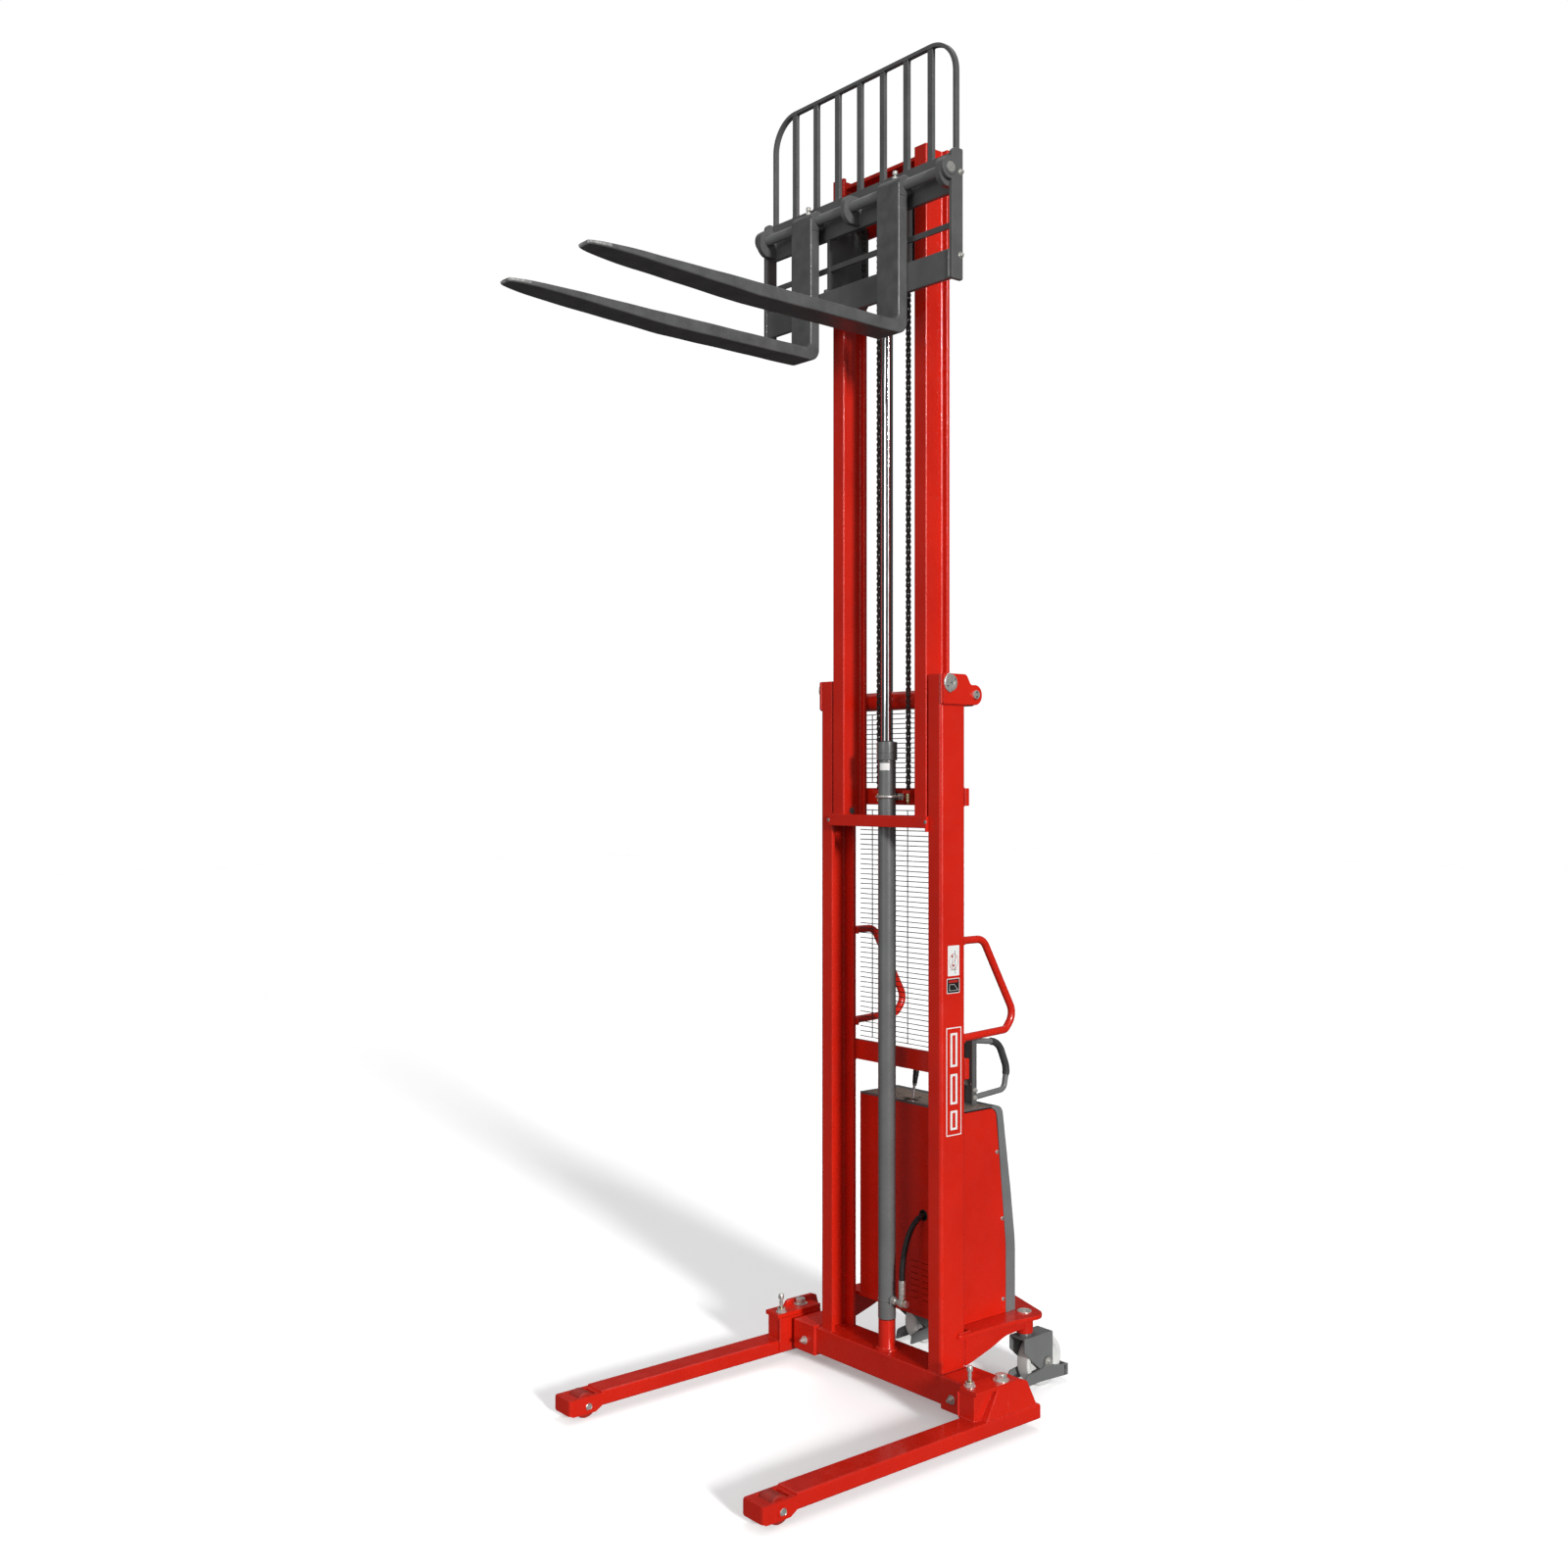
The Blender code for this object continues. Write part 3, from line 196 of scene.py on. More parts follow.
def bent(corners, steps=8):
    """A path from its corners (x, y, z, radius), with an arc at each inner corner."""
    path = [Vector(corners[0][:3])]
    for before, (x, y, z, radius), after in zip(corners, corners[1:], corners[2:]):
        here = Vector((x, y, z))
        back = (Vector(before[:3]) - here).normalized()
        ahead = (Vector(after[:3]) - here).normalized()
        half = back.angle(ahead) / 2
        along = radius / math.tan(half)
        centre = here + (back + ahead).normalized() * radius / math.sin(half)
        first = (here + back * along - centre).normalized()
        last = (here + ahead * along - centre).normalized()
        path += [centre + first.slerp(last, step / steps) * radius for step in range(steps + 1)]
    path.append(Vector(corners[-1][:3]))
    return path


def circle(a, b, radius, sides=24):
    return [(a + radius * math.cos(math.tau * i / sides), b + radius * math.sin(math.tau * i / sides))
            for i in range(sides)]


def arc(a, b, radius, start, end, steps):
    """Points on a round stretch about (a, b), from one angle in degrees to another, with both ends."""
    angles = [math.radians(start + (end - start) * i / steps) for i in range(steps + 1)]
    return [(a + radius * math.cos(angle), b + radius * math.sin(angle)) for angle in angles]


def rectangle(a_low, b_low, a_high, b_high, radius=0, steps=6):
    corners = [(a_low, b_low), (a_high, b_low), (a_high, b_high), (a_low, b_high)]
    return rounded([(*corner, radius) for corner in corners], steps)


def mirrored(half):
    """A turned profile from the half of it that lies on the positive side."""
    return half + [(radius, -along) for radius, along in half[::-1]]


class Piece:
    """One object, made up of bevelled shapes, that rides on a body."""

    def __init__(self, name, side=1):
        self.name = name
        self.side = side
        self.work = bmesh.new()
        self.finishes = []

    def sides(self):
        """Lets a loop draw what it holds on both sides, and then goes back to the middle."""
        for side in (1, -1):
            self.side = side
            yield side
        self.side = 1

    def merge(self, work, material, bevel=0.0, segments=2):
        if bevel:
            bmesh.ops.recalc_face_normals(work, faces=work.faces)
            sharp = [e for e in work.edges if e.is_manifold and e.calc_face_angle(0) > math.radians(31)]
            bmesh.ops.bevel(work, geom=sharp, offset=bevel, segments=segments, profile=0.5,
                            affect="EDGES", clamp_overlap=True)
        bmesh.ops.scale(work, vec=(self.side, 1, 1), verts=work.verts)
        bmesh.ops.translate(work, vec=(0, MAST_FRONT, 0), verts=work.verts)
        bmesh.ops.recalc_face_normals(work, faces=work.faces)
        if material not in self.finishes:
            self.finishes.append(material)
        for face in work.faces:
            face.material_index = self.finishes.index(material)
            face.smooth = True
        part = bpy.data.meshes.new("part")
        work.to_mesh(part)
        work.free()
        self.work.from_mesh(part)
        bpy.data.meshes.remove(part)
        return self

    def box(self, low, high, material=RED, bevel=0.0012, segments=2):
        low, high = Vector(low), Vector(high)
        work = bmesh.new()
        bmesh.ops.create_cube(work, size=1)
        bmesh.ops.scale(work, vec=high - low, verts=work.verts)
        bmesh.ops.translate(work, vec=(low + high) / 2, verts=work.verts)
        return self.merge(work, material, bevel, segments)

    def bar(self, start, end, radius, material=STEEL, sides=32, bevel=0.0006, end_radius=None):
        start, end = Vector(start), Vector(end)
        work = bmesh.new()
        bmesh.ops.create_cone(work, cap_ends=True, segments=sides, radius1=radius,
                              radius2=radius if end_radius is None else end_radius,
                              depth=(end - start).length)
        turn = (end - start).to_track_quat("Z", "Y").to_matrix().to_4x4()
        bmesh.ops.transform(work, matrix=Matrix.Translation((start + end) / 2) @ turn, verts=work.verts)
        return self.merge(work, material, bevel)

    def slab(self, outline, plane, low, high, material=RED, bevel=0.001, holes=(), segments=2):
        """An outline with holes, extruded from low to high across its plane."""
        work = bmesh.new()
        rings = [outline, *holes]
        flat = [work.verts.new((p[0], p[1], 0)) for ring in rings for p in ring]
        if holes:
            for face in tessellate_polygon([[Vector((p[0], p[1], 0)) for p in ring] for ring in rings]):
                work.faces.new([flat[i] for i in face])
        else:
            work.faces.new(flat)
        grown = bmesh.ops.extrude_face_region(work, geom=work.faces[:])
        moved = [item for item in grown["geom"] if isinstance(item, bmesh.types.BMVert)]
        bmesh.ops.translate(work, vec=(0, 0, high - low), verts=moved)
        bmesh.ops.transform(work, matrix=PLANES[plane] @ Matrix.Translation((0, 0, low)), verts=work.verts)
        return self.merge(work, material, bevel, segments)

    def hull(self, points, material=RED, bevel=0.0008):
        work = bmesh.new()
        for point in points:
            work.verts.new(point)
        bmesh.ops.convex_hull(work, input=work.verts[:])
        return self.merge(work, material, bevel)

    def turned(self, profile, axis, centre, material=STEEL, steps=40, closed=True):
        """A profile (radius, along) turned about an axis through centre; points on the axis close it."""
        work = bmesh.new()
        rings = []
        for radius, along in profile:
            if radius == 0:
                rings.append([work.verts.new((0, 0, along))])
                continue
            rings.append([work.verts.new((x, y, along)) for x, y in circle(0, 0, radius, steps)])
        pairs = list(zip(rings, rings[1:]))
        if closed and profile[0][0] and profile[-1][0]:
            pairs.append((rings[-1], rings[0]))
        for one, two in pairs:
            for i in range(steps):
                j = (i + 1) % steps
                corners = [one[i % len(one)], one[j % len(one)], two[j % len(two)], two[i % len(two)]]
                corners = list(dict.fromkeys(corners))
                if len(corners) > 2:
                    work.faces.new(corners)
        turn = {"X": Matrix.Rotation(math.pi / 2, 4, "Y"), "Y": Matrix.Rotation(-math.pi / 2, 4, "X"),
                "Z": Matrix.Identity(4)}[axis]
        bmesh.ops.transform(work, matrix=Matrix.Translation(centre) @ turn, verts=work.verts)
        return self.merge(work, material)

    def tube(self, path, radius, material, sides=16, ripple=None):
        """A round tube along a path; ripple (size, count) makes it swell and shrink like a weld bead."""
        path = [Vector(p) for p in path]
        work = bmesh.new()
        rings = []
        direction = (path[1] - path[0]).normalized()
        across = direction.orthogonal().normalized()
        for i, point in enumerate(path):
            ahead = (path[min(i + 1, len(path) - 1)] - path[max(i - 1, 0)]).normalized()
            across = direction.rotation_difference(ahead) @ across
            direction = ahead
            other = direction.cross(across)
            size = radius
            if ripple:
                size *= 1 + ripple[0] * math.sin(math.tau * ripple[1] * i / (len(path) - 1))
            rings.append([work.verts.new(point + across * x * size + other * y * size)
                          for x, y in circle(0, 0, 1, sides)])
        for one, two in zip(rings, rings[1:]):
            for i in range(sides):
                work.faces.new((one[i - 1], one[i], two[i], two[i - 1]))
        work.faces.new(rings[0])
        work.faces.new(rings[-1])
        return self.merge(work, material)

    def weld(self, start, end, radius=0.0022, material=WELD_RED):
        """A weld bead with its row of small waves."""
        start, end = Vector(start), Vector(end)
        waves = max(3, int((end - start).length / 0.0045))
        steps = waves * 4
        return self.tube([start.lerp(end, i / steps) for i in range(steps + 1)], radius, material, 10,
                         (0.05, waves))

    def ring_weld(self, centre, radius, bead=0.0022, material=WELD_RED):
        waves = max(10, int(math.tau * radius / 0.0045))
        steps = waves * 4
        path = [Vector(centre) + Vector((x, y, 0)) for x, y in arc(0, 0, radius, 0, 360, steps)]
        return self.tube(path, bead, material, 8, (0.16, waves))

    def bolt(self, base, direction, size, material=ZINC, washer=True, length=0.0):
        """A hexagon head on a washer, its thread's end standing out by length."""
        base, direction = Vector(base), Vector(direction).normalized()
        if washer:
            self.bar(base, base + direction * size * 0.22, size * 1.35, material, 28, 0.0003)
            base = base + direction * size * 0.22
        top = base + direction * size * 0.85
        self.bar(base, top, size, material, 6, size * 0.08)
        self.bar(top - direction * 0.0005, top + direction * size * 0.08, size * 0.72, material, 24,
                 size * 0.05)
        if length:
            self.bar(top, top + direction * length, size * 0.5, material, 20, size * 0.08)
        return self

    def done(self, body, slot, *replaced):
        mesh = bpy.data.meshes.new(self.name)
        self.work.to_mesh(mesh)
        self.work.free()
        for material in self.finishes:
            mesh.materials.append(material)
        mesh.set_sharp_from_angle(angle=SMOOTH_ANGLE)
        thing = bpy.data.objects.new(self.name, mesh)
        bpy.context.scene.collection.objects.link(thing)
        weighted = thing.modifiers.new("weighted", "WEIGHTED_NORMAL")
        weighted.keep_sharp = True
        if body:
            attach(thing, body)
        if replaced:
            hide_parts(*replaced)
        return thing


def hollow_beam(piece, low, high, wall, corner=0.004, material=RED):
    """A rectangular tube along X."""
    (x0, y0, z0), (x1, y1, z1) = low, high
    outer = rectangle(y0, z0, y1, z1, corner, 5)
    inner = rectangle(y0 + wall, z0 + wall, y1 - wall, z1 - wall, 0.002, 5)
    piece.slab(outer, "YZ", x0, x1, material, 0.001, [inner])


# The fixed frame

BEAM_BOTTOM, BEAM_TOP = 0.052, 0.13
COLUMN_OUT, COLUMN_IN, COLUMN_DEPTH, COLUMN_TOP = 0.256, 0.204, 0.098, 2.089
FLANGE, WEB = 0.012, 0.01
CYLINDER_Y = 0.034


def crossbeam():
    beam = Piece("base_crossbeam_welded")
    hollow_beam(beam, (-0.283, -0.008, BEAM_BOTTOM), (0.283, 0.104, BEAM_TOP), 0.008)
    beam.turned([(0.0305, 0.129), (0.027, 0.134), (0.025, 0.139), (0.025, 0.2155), (0.024, 0.2165),
                 (0, 0.2165)],
                "Z", (0, CYLINDER_Y, 0), RED, 48)
    beam.ring_weld((0, CYLINDER_Y, 0.1315), 0.0285, 0.003)
    beam.bar((0, CYLINDER_Y, 0.13), (0, CYLINDER_Y, 0.1335), 0.036, RED, 40, 0.001)
    for _ in beam.sides():
        hollow_beam(beam, (0.27, -0.016, 0.044), (0.362, 0.112, 0.135), 0.009)
        beam.weld((0.27, -0.0095, 0.054), (0.27, -0.0095, 0.128))
        beam.weld((0.27, -0.004, 0.1315), (0.27, 0.1, 0.1315), 0.0028)
        for start, end in (((0.204, -0.001), (0.255, -0.001)), ((0.257, 0.002), (0.257, 0.097)),
                           ((0.206, 0.0135), (0.244, 0.0135))):
            beam.weld((*start, BEAM_TOP + 0.0008), (*end, BEAM_TOP + 0.0008), 0.0026)
        # The set screw and its lock nut on the receiver's front
        beam.bolt((0.312, -0.016, 0.082), (0, -1, 0), 0.0095, length=0.008)
        beam.bar((0.312, -0.016, 0.082), (0.312, -0.0165, 0.082), 0.015, RED, 24, 0)
    beam.done("chassis", "red_paint", "base_crossbeam")


def column_outline():
    web = COLUMN_OUT - WEB
    return rounded([
        (COLUMN_OUT, 0, 0.011), (COLUMN_OUT, COLUMN_DEPTH, 0.011), (COLUMN_IN, COLUMN_DEPTH, 0.002),
        (COLUMN_IN, COLUMN_DEPTH - FLANGE, 0.002), (web, COLUMN_DEPTH - FLANGE, 0.005), (web, FLANGE, 0.005),
        (COLUMN_IN, FLANGE, 0.002), (COLUMN_IN, 0, 0.002),
    ], 5)


def outer_mast():
    mast = Piece("outer_mast_columns")
    ties = ((1.718, 1.768), (0.943, 1.002))
    for _ in mast.sides():
        mast.slab(column_outline(), "XY", BEAM_TOP, COLUMN_TOP, RED, 0.0008)
        for low, high in ties:
            for z in (low - 0.0005, high + 0.0005):
                mast.weld((0.205, COLUMN_DEPTH, z), (0.25, COLUMN_DEPTH, z))
            mast.weld((0.2535, 0.0985, low + 0.004), (0.2535, 0.0985, high - 0.004), 0.0026)
        ear = rounded([(0.002, 2.004, 0.004), (0.002, 2.09, 0.005), (0.094, 2.09, 0.014),
                       (0.112, 2.06, 0.012),
                       (0.157, 2.063, 0.0275), (0.157, 2.004, 0.0275), (0.1, 2.004, 0.004)], 8)
        mast.slab(ear, "YZ", COLUMN_OUT - 0.003, COLUMN_OUT + 0.008, RED, 0.0016)
        mast.weld((0.2545, 0.0015, 2.006), (0.2545, 0.0015, 2.088), 0.003)
        mast.weld((0.2575, 0.004, 2.0035), (0.2575, 0.096, 2.0035), 0.0026)
        # The pivot disc of the top roller, with its clip and two spanner holes; the spanner holes and the
        # centre hole are black discs of painted shade
        x, y, z = 0.264, 0.03, 2.064
        mast.turned([(0.024, -0.006), (0.024, 0.0022), (0.0228, 0.0034), (0.0125, 0.0034), (0.0115, 0.0026),
                     (0, 0.0026)], "X", (x, y, z), ZINC, 56)
        for turn in (0.6, 0.6 + math.pi):
            spot = Vector((x + 0.003, y + 0.017 * math.cos(turn), z + 0.017 * math.sin(turn)))
            mast.bar(spot, spot + Vector((0.0008, 0, 0)), 0.0022, BLACK_PRINT_AND_HOLE_SHADE, 16, 0)
        mast.bar((x + 0.002, y, z), (x + 0.0035, y, z), 0.0022, BLACK_PRINT_AND_HOLE_SHADE, 16, 0)
        mast.tube([(x + 0.002, *point) for point in arc(y, z, 0.0262, 100, 268, 14)], 0.0022, ZINC, 10)
        # The ear's bored pin; the two holes on its end are black discs of painted shade
        mast.turned([(0.0125, -0.012), (0.0125, 0.0066), (0.0115, 0.0078), (0, 0.0078)], "X",
                    (0.264, 0.128, 2.033), ZINC, 40)
        mast.bar((0.2716, 0.128, 2.04), (0.2722, 0.128, 2.04), 0.0028, BLACK_PRINT_AND_HOLE_SHADE, 16, 0)
        mast.bar((0.2716, 0.128, 2.027), (0.2722, 0.128, 2.027), 0.0028, BLACK_PRINT_AND_HOLE_SHADE, 16, 0)
        mast.bar((0.1815, 0.046, 2.045), (0.25, 0.046, 2.045), 0.01, STEEL, 24)
        # The chain's anchor: a plate with an eye bolt and two nuts
        mast.box((0.046, 0.0505, 1.752), (0.078, 0.1, 1.762), RED, 0.001)
        mast.bar((0.062, 0.061, 1.722), (0.062, 0.061, 1.7615), 0.0048, BRASS, 16, 0.0004)
        for z in (1.728, 1.7365, 1.7445):
            mast.bar((0.062, 0.061, z), (0.062, 0.061, z + 0.007), 0.0082, BRASS, 6, 0.0006)
    for low, high in ties:
        mast.box((-0.2555, COLUMN_DEPTH - 0.0015, low), (0.2555, 0.114, high), RED, 0.0022, 3)
    mast.bar((-0.252, 0.124, 2.028), (0.252, 0.124, 2.028), 0.0275, RED, 48, 0.001)
    mast.box((-0.02, 0.0615, 1.725), (0.02, 0.099, 1.761), RED, 0.002)
    mast.done("chassis", "red_paint", "outer_mast_frame")


def base_plate():
    half = [(0.0, 0.118, 0), (0.2565, 0.118, 0), (0.2565, 0.062, 0), (0.269, 0.062, 0.0105),
            (0.274, 0.25, 0.3), (0.296, 0.395, 0.045), (0.117, 0.458, 0.2), (0.0, 0.474, 0)]
    outline = rounded(half + [(-a, b, r) for a, b, r in half[1:-1]][::-1], 8)
    plate = Piece("base_plate_welded")
    plate.slab(outline, "XY", 0.216, 0.228, RED, 0.002, segments=3)
    gusset = rounded([(0.0983, 0.132, 0), (0.126, 0.138, 0.05), (0.205, 0.16, 0.1), (0.265, 0.182, 0.08),
                      (0.345, 0.186, 0.012), (0.345, 0.22, 0), (0.0983, 0.22, 0)], 6)
    for _ in plate.sides():
        plate.slab(gusset, "YZ", 0.244, 0.256, RED, 0.0015)
        plate.weld((0.257, 0.102, 0.215), (0.257, 0.34, 0.215), 0.0026)
        plate.weld((0.25, 0.0992, 0.134), (0.25, 0.0992, 0.214), 0.0026)
        plate.weld((0.2585, 0.066, 0.2295), (0.2585, 0.112, 0.2295), 0.0026)
        x, y = 0.237, 0.366
        plate.turned([(0.0105, 0.1675), (0.024, 0.1675), (0.025, 0.169), (0.025, 0.2165), (0.0105, 0.2165)],
                     "Z", (x, y, 0), RED, 44)
        plate.ring_weld((x, y, 0.2145), 0.0262, 0.0026)
        # The bearing's cap with its hexagon
        plate.turned([(0.021, 0.226), (0.021, 0.23), (0.0198, 0.231), (0.015, 0.231), (0.014, 0.2303),
                      (0, 0.2303)], "Z", (x, y, 0), ZINC, 44)
        plate.bar((x, y, 0.23), (x, y, 0.2312), 0.0085, ZINC, 6, 0.0003)
    plate.done("chassis", "red_paint", "base_plate")


# The power pack

HOUSING_X, HOUSING_FRONT, HOUSING_BOTTOM, HOUSING_TOP, COVER_TOP = 0.21, 0.12, 0.2283, 0.8345, 0.841
SHEET = 0.0025
HOSE_X, PORT_Z = 0.064, 0.5164
KEY_X, KEY_Y = -0.14, 0.16
LEVER_X, LEVER_Y, LEVER_PIVOT_Z = -0.02, 0.152, 0.802


def curved_back(inset):
    return [(0.355 - inset, HOUSING_BOTTOM, 0), (0.355 - inset, 0.43, 0.5),
            (0.335 - 0.93 * inset, 0.593, 1.2), (0.299 - 0.6 * inset, COVER_TOP - 0.4 * inset, 0.028)]


def side_sheet(back, top, front=HOUSING_FRONT):
    return rounded(back[:3] + [(0.272, top, 0.028), (front, top, 0), (front, HOUSING_BOTTOM, 0)], 12)


def housing():
    body = Piece("power_pack_body")
    louvres = [(x, 0.266 + 0.018 * i) for x in (0.012, 0.06, -0.1) for i in range(7)]
    slots = [rectangle(x, z, x + 0.03, z + 0.0016) for x, z in louvres]
    hole = circle(HOSE_X, PORT_Z, 0.014, 28)
    inside = HOUSING_X - SHEET
    panel = rectangle(-inside - 0.002, HOUSING_BOTTOM, inside + 0.002, HOUSING_TOP, 0.001, 2)
    body.slab(panel, "XZ", HOUSING_FRONT, HOUSING_FRONT + SHEET, RED, 0.0005, [hole, *slots])
    ring = [(x, HOUSING_FRONT, z) for x, z in arc(HOSE_X, PORT_Z, 0.0148, 0, 360, 40)]
    body.tube(ring, 0.0022, RUBBER, 10)
    for x, z in louvres:
        hood = [(x + 0.015 + 0.0165 * a, HOUSING_FRONT + 0.0004, z + 0.0042 + 0.0012 * b)
                for a, b in arc(0, 0, 1, 0, 180, 8)]
        body.tube(hood, 0.0024, RED, 10)
    body.bar((-0.05, HOUSING_FRONT, 0.565), (-0.05, HOUSING_FRONT - 0.0022, 0.565), 0.0042, RED, 20, 0.0008)
    body.box((-inside, HOUSING_FRONT + 0.001, HOUSING_BOTTOM), (inside, HOUSING_FRONT + 0.02, 0.231), RED,
             0.0008)
    outline = side_sheet(curved_back(0.04), HOUSING_TOP)
    for _ in body.sides():
        body.slab(outline, "YZ", inside, HOUSING_X, RED, 0.001, segments=3)
        # The rounded fold between the side and the front panel
        body.tube([(HOUSING_X - 0.0035, HOUSING_FRONT + 0.0035, z) for z in (0.2286, 0.52, 0.8342)], 0.0035,
                  RED, 16)
        for y, z in ((0.303, 0.27), (0.299, 0.507), (0.2765, 0.705)):
            body.turned([(0.0062, 0), (0.0062, 0.0014), (0.0046, 0.0032), (0, 0.0036)], "X",
                        (HOUSING_X, y, z), ZINC, 24)
            # The cross recess in each screw head is a black cross of painted shade
            body.box((HOUSING_X + 0.003, y - 0.0035, z - 0.0005),
                     (HOUSING_X + 0.0039, y + 0.0035, z + 0.0005), BLACK_PRINT_AND_HOLE_SHADE, 0)
            body.box((HOUSING_X + 0.003, y - 0.0005, z - 0.0035),
                     (HOUSING_X + 0.0039, y + 0.0005, z + 0.0035), BLACK_PRINT_AND_HOLE_SHADE, 0)
    body.done("chassis", "red_paint", "power_pack_housing")


def rear_cover():
    cover = Piece("rear_cover_sheet")
    inner = curved_back(0.04)
    outer = curved_back(0)[:3] + [(0.299, COVER_TOP, 0.03), (0.256, COVER_TOP, 0)]
    skin = rounded(outer + [(0.256, COVER_TOP - 0.003, 0),
                            (0.2972, COVER_TOP - 0.003, 0.027), (0.332, 0.593, 1.2),
                            (0.352, 0.43, 0.5), (0.352, HOUSING_BOTTOM, 0)], 14)
    cover.slab(skin, "YZ", -HOUSING_X + 0.001, HOUSING_X - 0.001, GREY, 0.001)
    strip = rounded(outer + [(0.256, HOUSING_TOP + 0.0006, 0), (0.2725, HOUSING_TOP + 0.0006, 0.0285),
                             (0.2795, 0.8, 0.2), *[(a + 0.0006, b, r) for a, b, r in inner[2::-1]]], 12)
    for _ in cover.sides():
        cover.slab(strip, "YZ", HOUSING_X - SHEET, HOUSING_X, PALE_GREY, 0.001, segments=3)
    # The top: a dark control panel with the lever's cross-shaped slot and the key's hole
    right_half = [(0.0045, 0.124), (0.0045, 0.146), (0.028, 0.146), (0.028, 0.155), (0.0045, 0.155),
                  (0.0045, 0.19)]
    left_half = [(-a, b) for a, b in right_half[::-1]]
    slot = [(LEVER_X + a, b) for a, b in left_half[-1:] + right_half + left_half[:-1]]
    key = circle(KEY_X, KEY_Y, 0.0106, 28)
    edge = HOUSING_X - 0.0005
    cover.slab(rectangle(-edge, HOUSING_FRONT, edge, 0.258), "XY", 0.8378, 0.8404, GREY, 0.0008, [slot, key])
    lip = HOUSING_X - 0.01
    cover.slab(rectangle(-lip, HOUSING_FRONT + 0.004, lip, 0.25), "XY", 0.84, COVER_TOP, PANEL, 0.0004,
               [slot, key])
    cover.box((-edge, HOUSING_FRONT - 0.0002, 0.8345), (edge, HOUSING_FRONT + 0.0024, 0.8414), GREY, 0.001,
              3)
    frame_slot = [(a + (0.0012 if a > LEVER_X else -0.0012), b) for a, b in slot]
    rim = [Vector((a, b, COVER_TOP + 0.0002)) for a, b in frame_slot]
    cover.tube(rim + rim[:1], 0.0009, BLACK, 8)
    for x in (-0.165, 0.165):
        for y, z, tilt in ((0.3555, 0.3, 0), (0.349, 0.52, -9), (0.314, 0.76, -12)):
            lean = math.radians(tilt)
            out = Vector((0, math.cos(lean), -math.sin(lean)))
            cover.bar(Vector((x, y - 0.003, z)), Vector((x, y - 0.003, z)) + out * 0.0045, 0.0062, ZINC, 24,
                      0.0016)
    cover.box((LEVER_X - 0.016, LEVER_Y - 0.012, 0.788), (LEVER_X - 0.012, LEVER_Y + 0.012, 0.838), GREY,
              0.0005)
    cover.bar((LEVER_X - 0.014, LEVER_Y, LEVER_PIVOT_Z), (LEVER_X + 0.008, LEVER_Y, LEVER_PIVOT_Z), 0.004,
              ZINC, 20)
    cover.done("chassis", "grey_paint", "rear_cover")


def control_lever():
    lever = Piece("control_lever_and_grip")
    pivot = Vector((LEVER_X, LEVER_Y, LEVER_PIVOT_Z))
    lean = Vector((0, math.sin(math.radians(10)), math.cos(math.radians(10))))
    lever.turned([(0.0043, -0.005), (0.009, -0.005), (0.009, 0.005), (0.0043, 0.005)], "X", pivot, CHROME,
                 32)
    lever.bar(pivot + lean * 0.007, pivot + lean * 0.086, 0.0042, CHROME, 24)
    lever.bar(pivot + lean * 0.078, pivot + lean * 0.084, 0.0068, CHROME, 6, 0.0006)
    lever.bar(pivot + lean * 0.084, pivot + lean * 0.122, 0.007, PLASTIC, 28, 0.0016, end_radius=0.0095)
    lever.bar(pivot + lean * 0.1205, pivot + lean * 0.1265, 0.0093, PLASTIC, 28, 0.002, end_radius=0.008)
    lever.done("lift_lever", "chrome_rod", "control_lever")
    switch = Piece("key_switch_with_key")
    centre = (KEY_X, KEY_Y, COVER_TOP)
    switch.turned([(0, -0.026), (0.01, -0.026), (0.01, 0.0004), (0.015, 0.0004), (0.015, 0.0034),
                   (0.0136, 0.0048), (0.0085, 0.0048), (0.008, 0.004), (0, 0.004)], "Z", centre, BLACK, 40)
    switch.turned([(0.015, 0.0006), (0.0157, 0.001), (0.0157, 0.0022), (0.015, 0.0026)], "Z", centre, ZINC,
                  40)
    switch.bar((KEY_X, KEY_Y, COVER_TOP + 0.003), (KEY_X, KEY_Y, COVER_TOP + 0.0055), 0.0062, ZINC, 28)
    bow = rounded([(0.149, 0.8465, 0.003), (0.171, 0.8465, 0.003), (0.171, 0.8605, 0.006),
                   (0.149, 0.8605, 0.006)])
    switch.slab(bow, "YZ", -0.1412, -0.1388, ZINC, 0.0005, [circle(0.16, 0.8555, 0.0026, 16)])
    switch.done("main_key", "black_plastic", "key_switch")


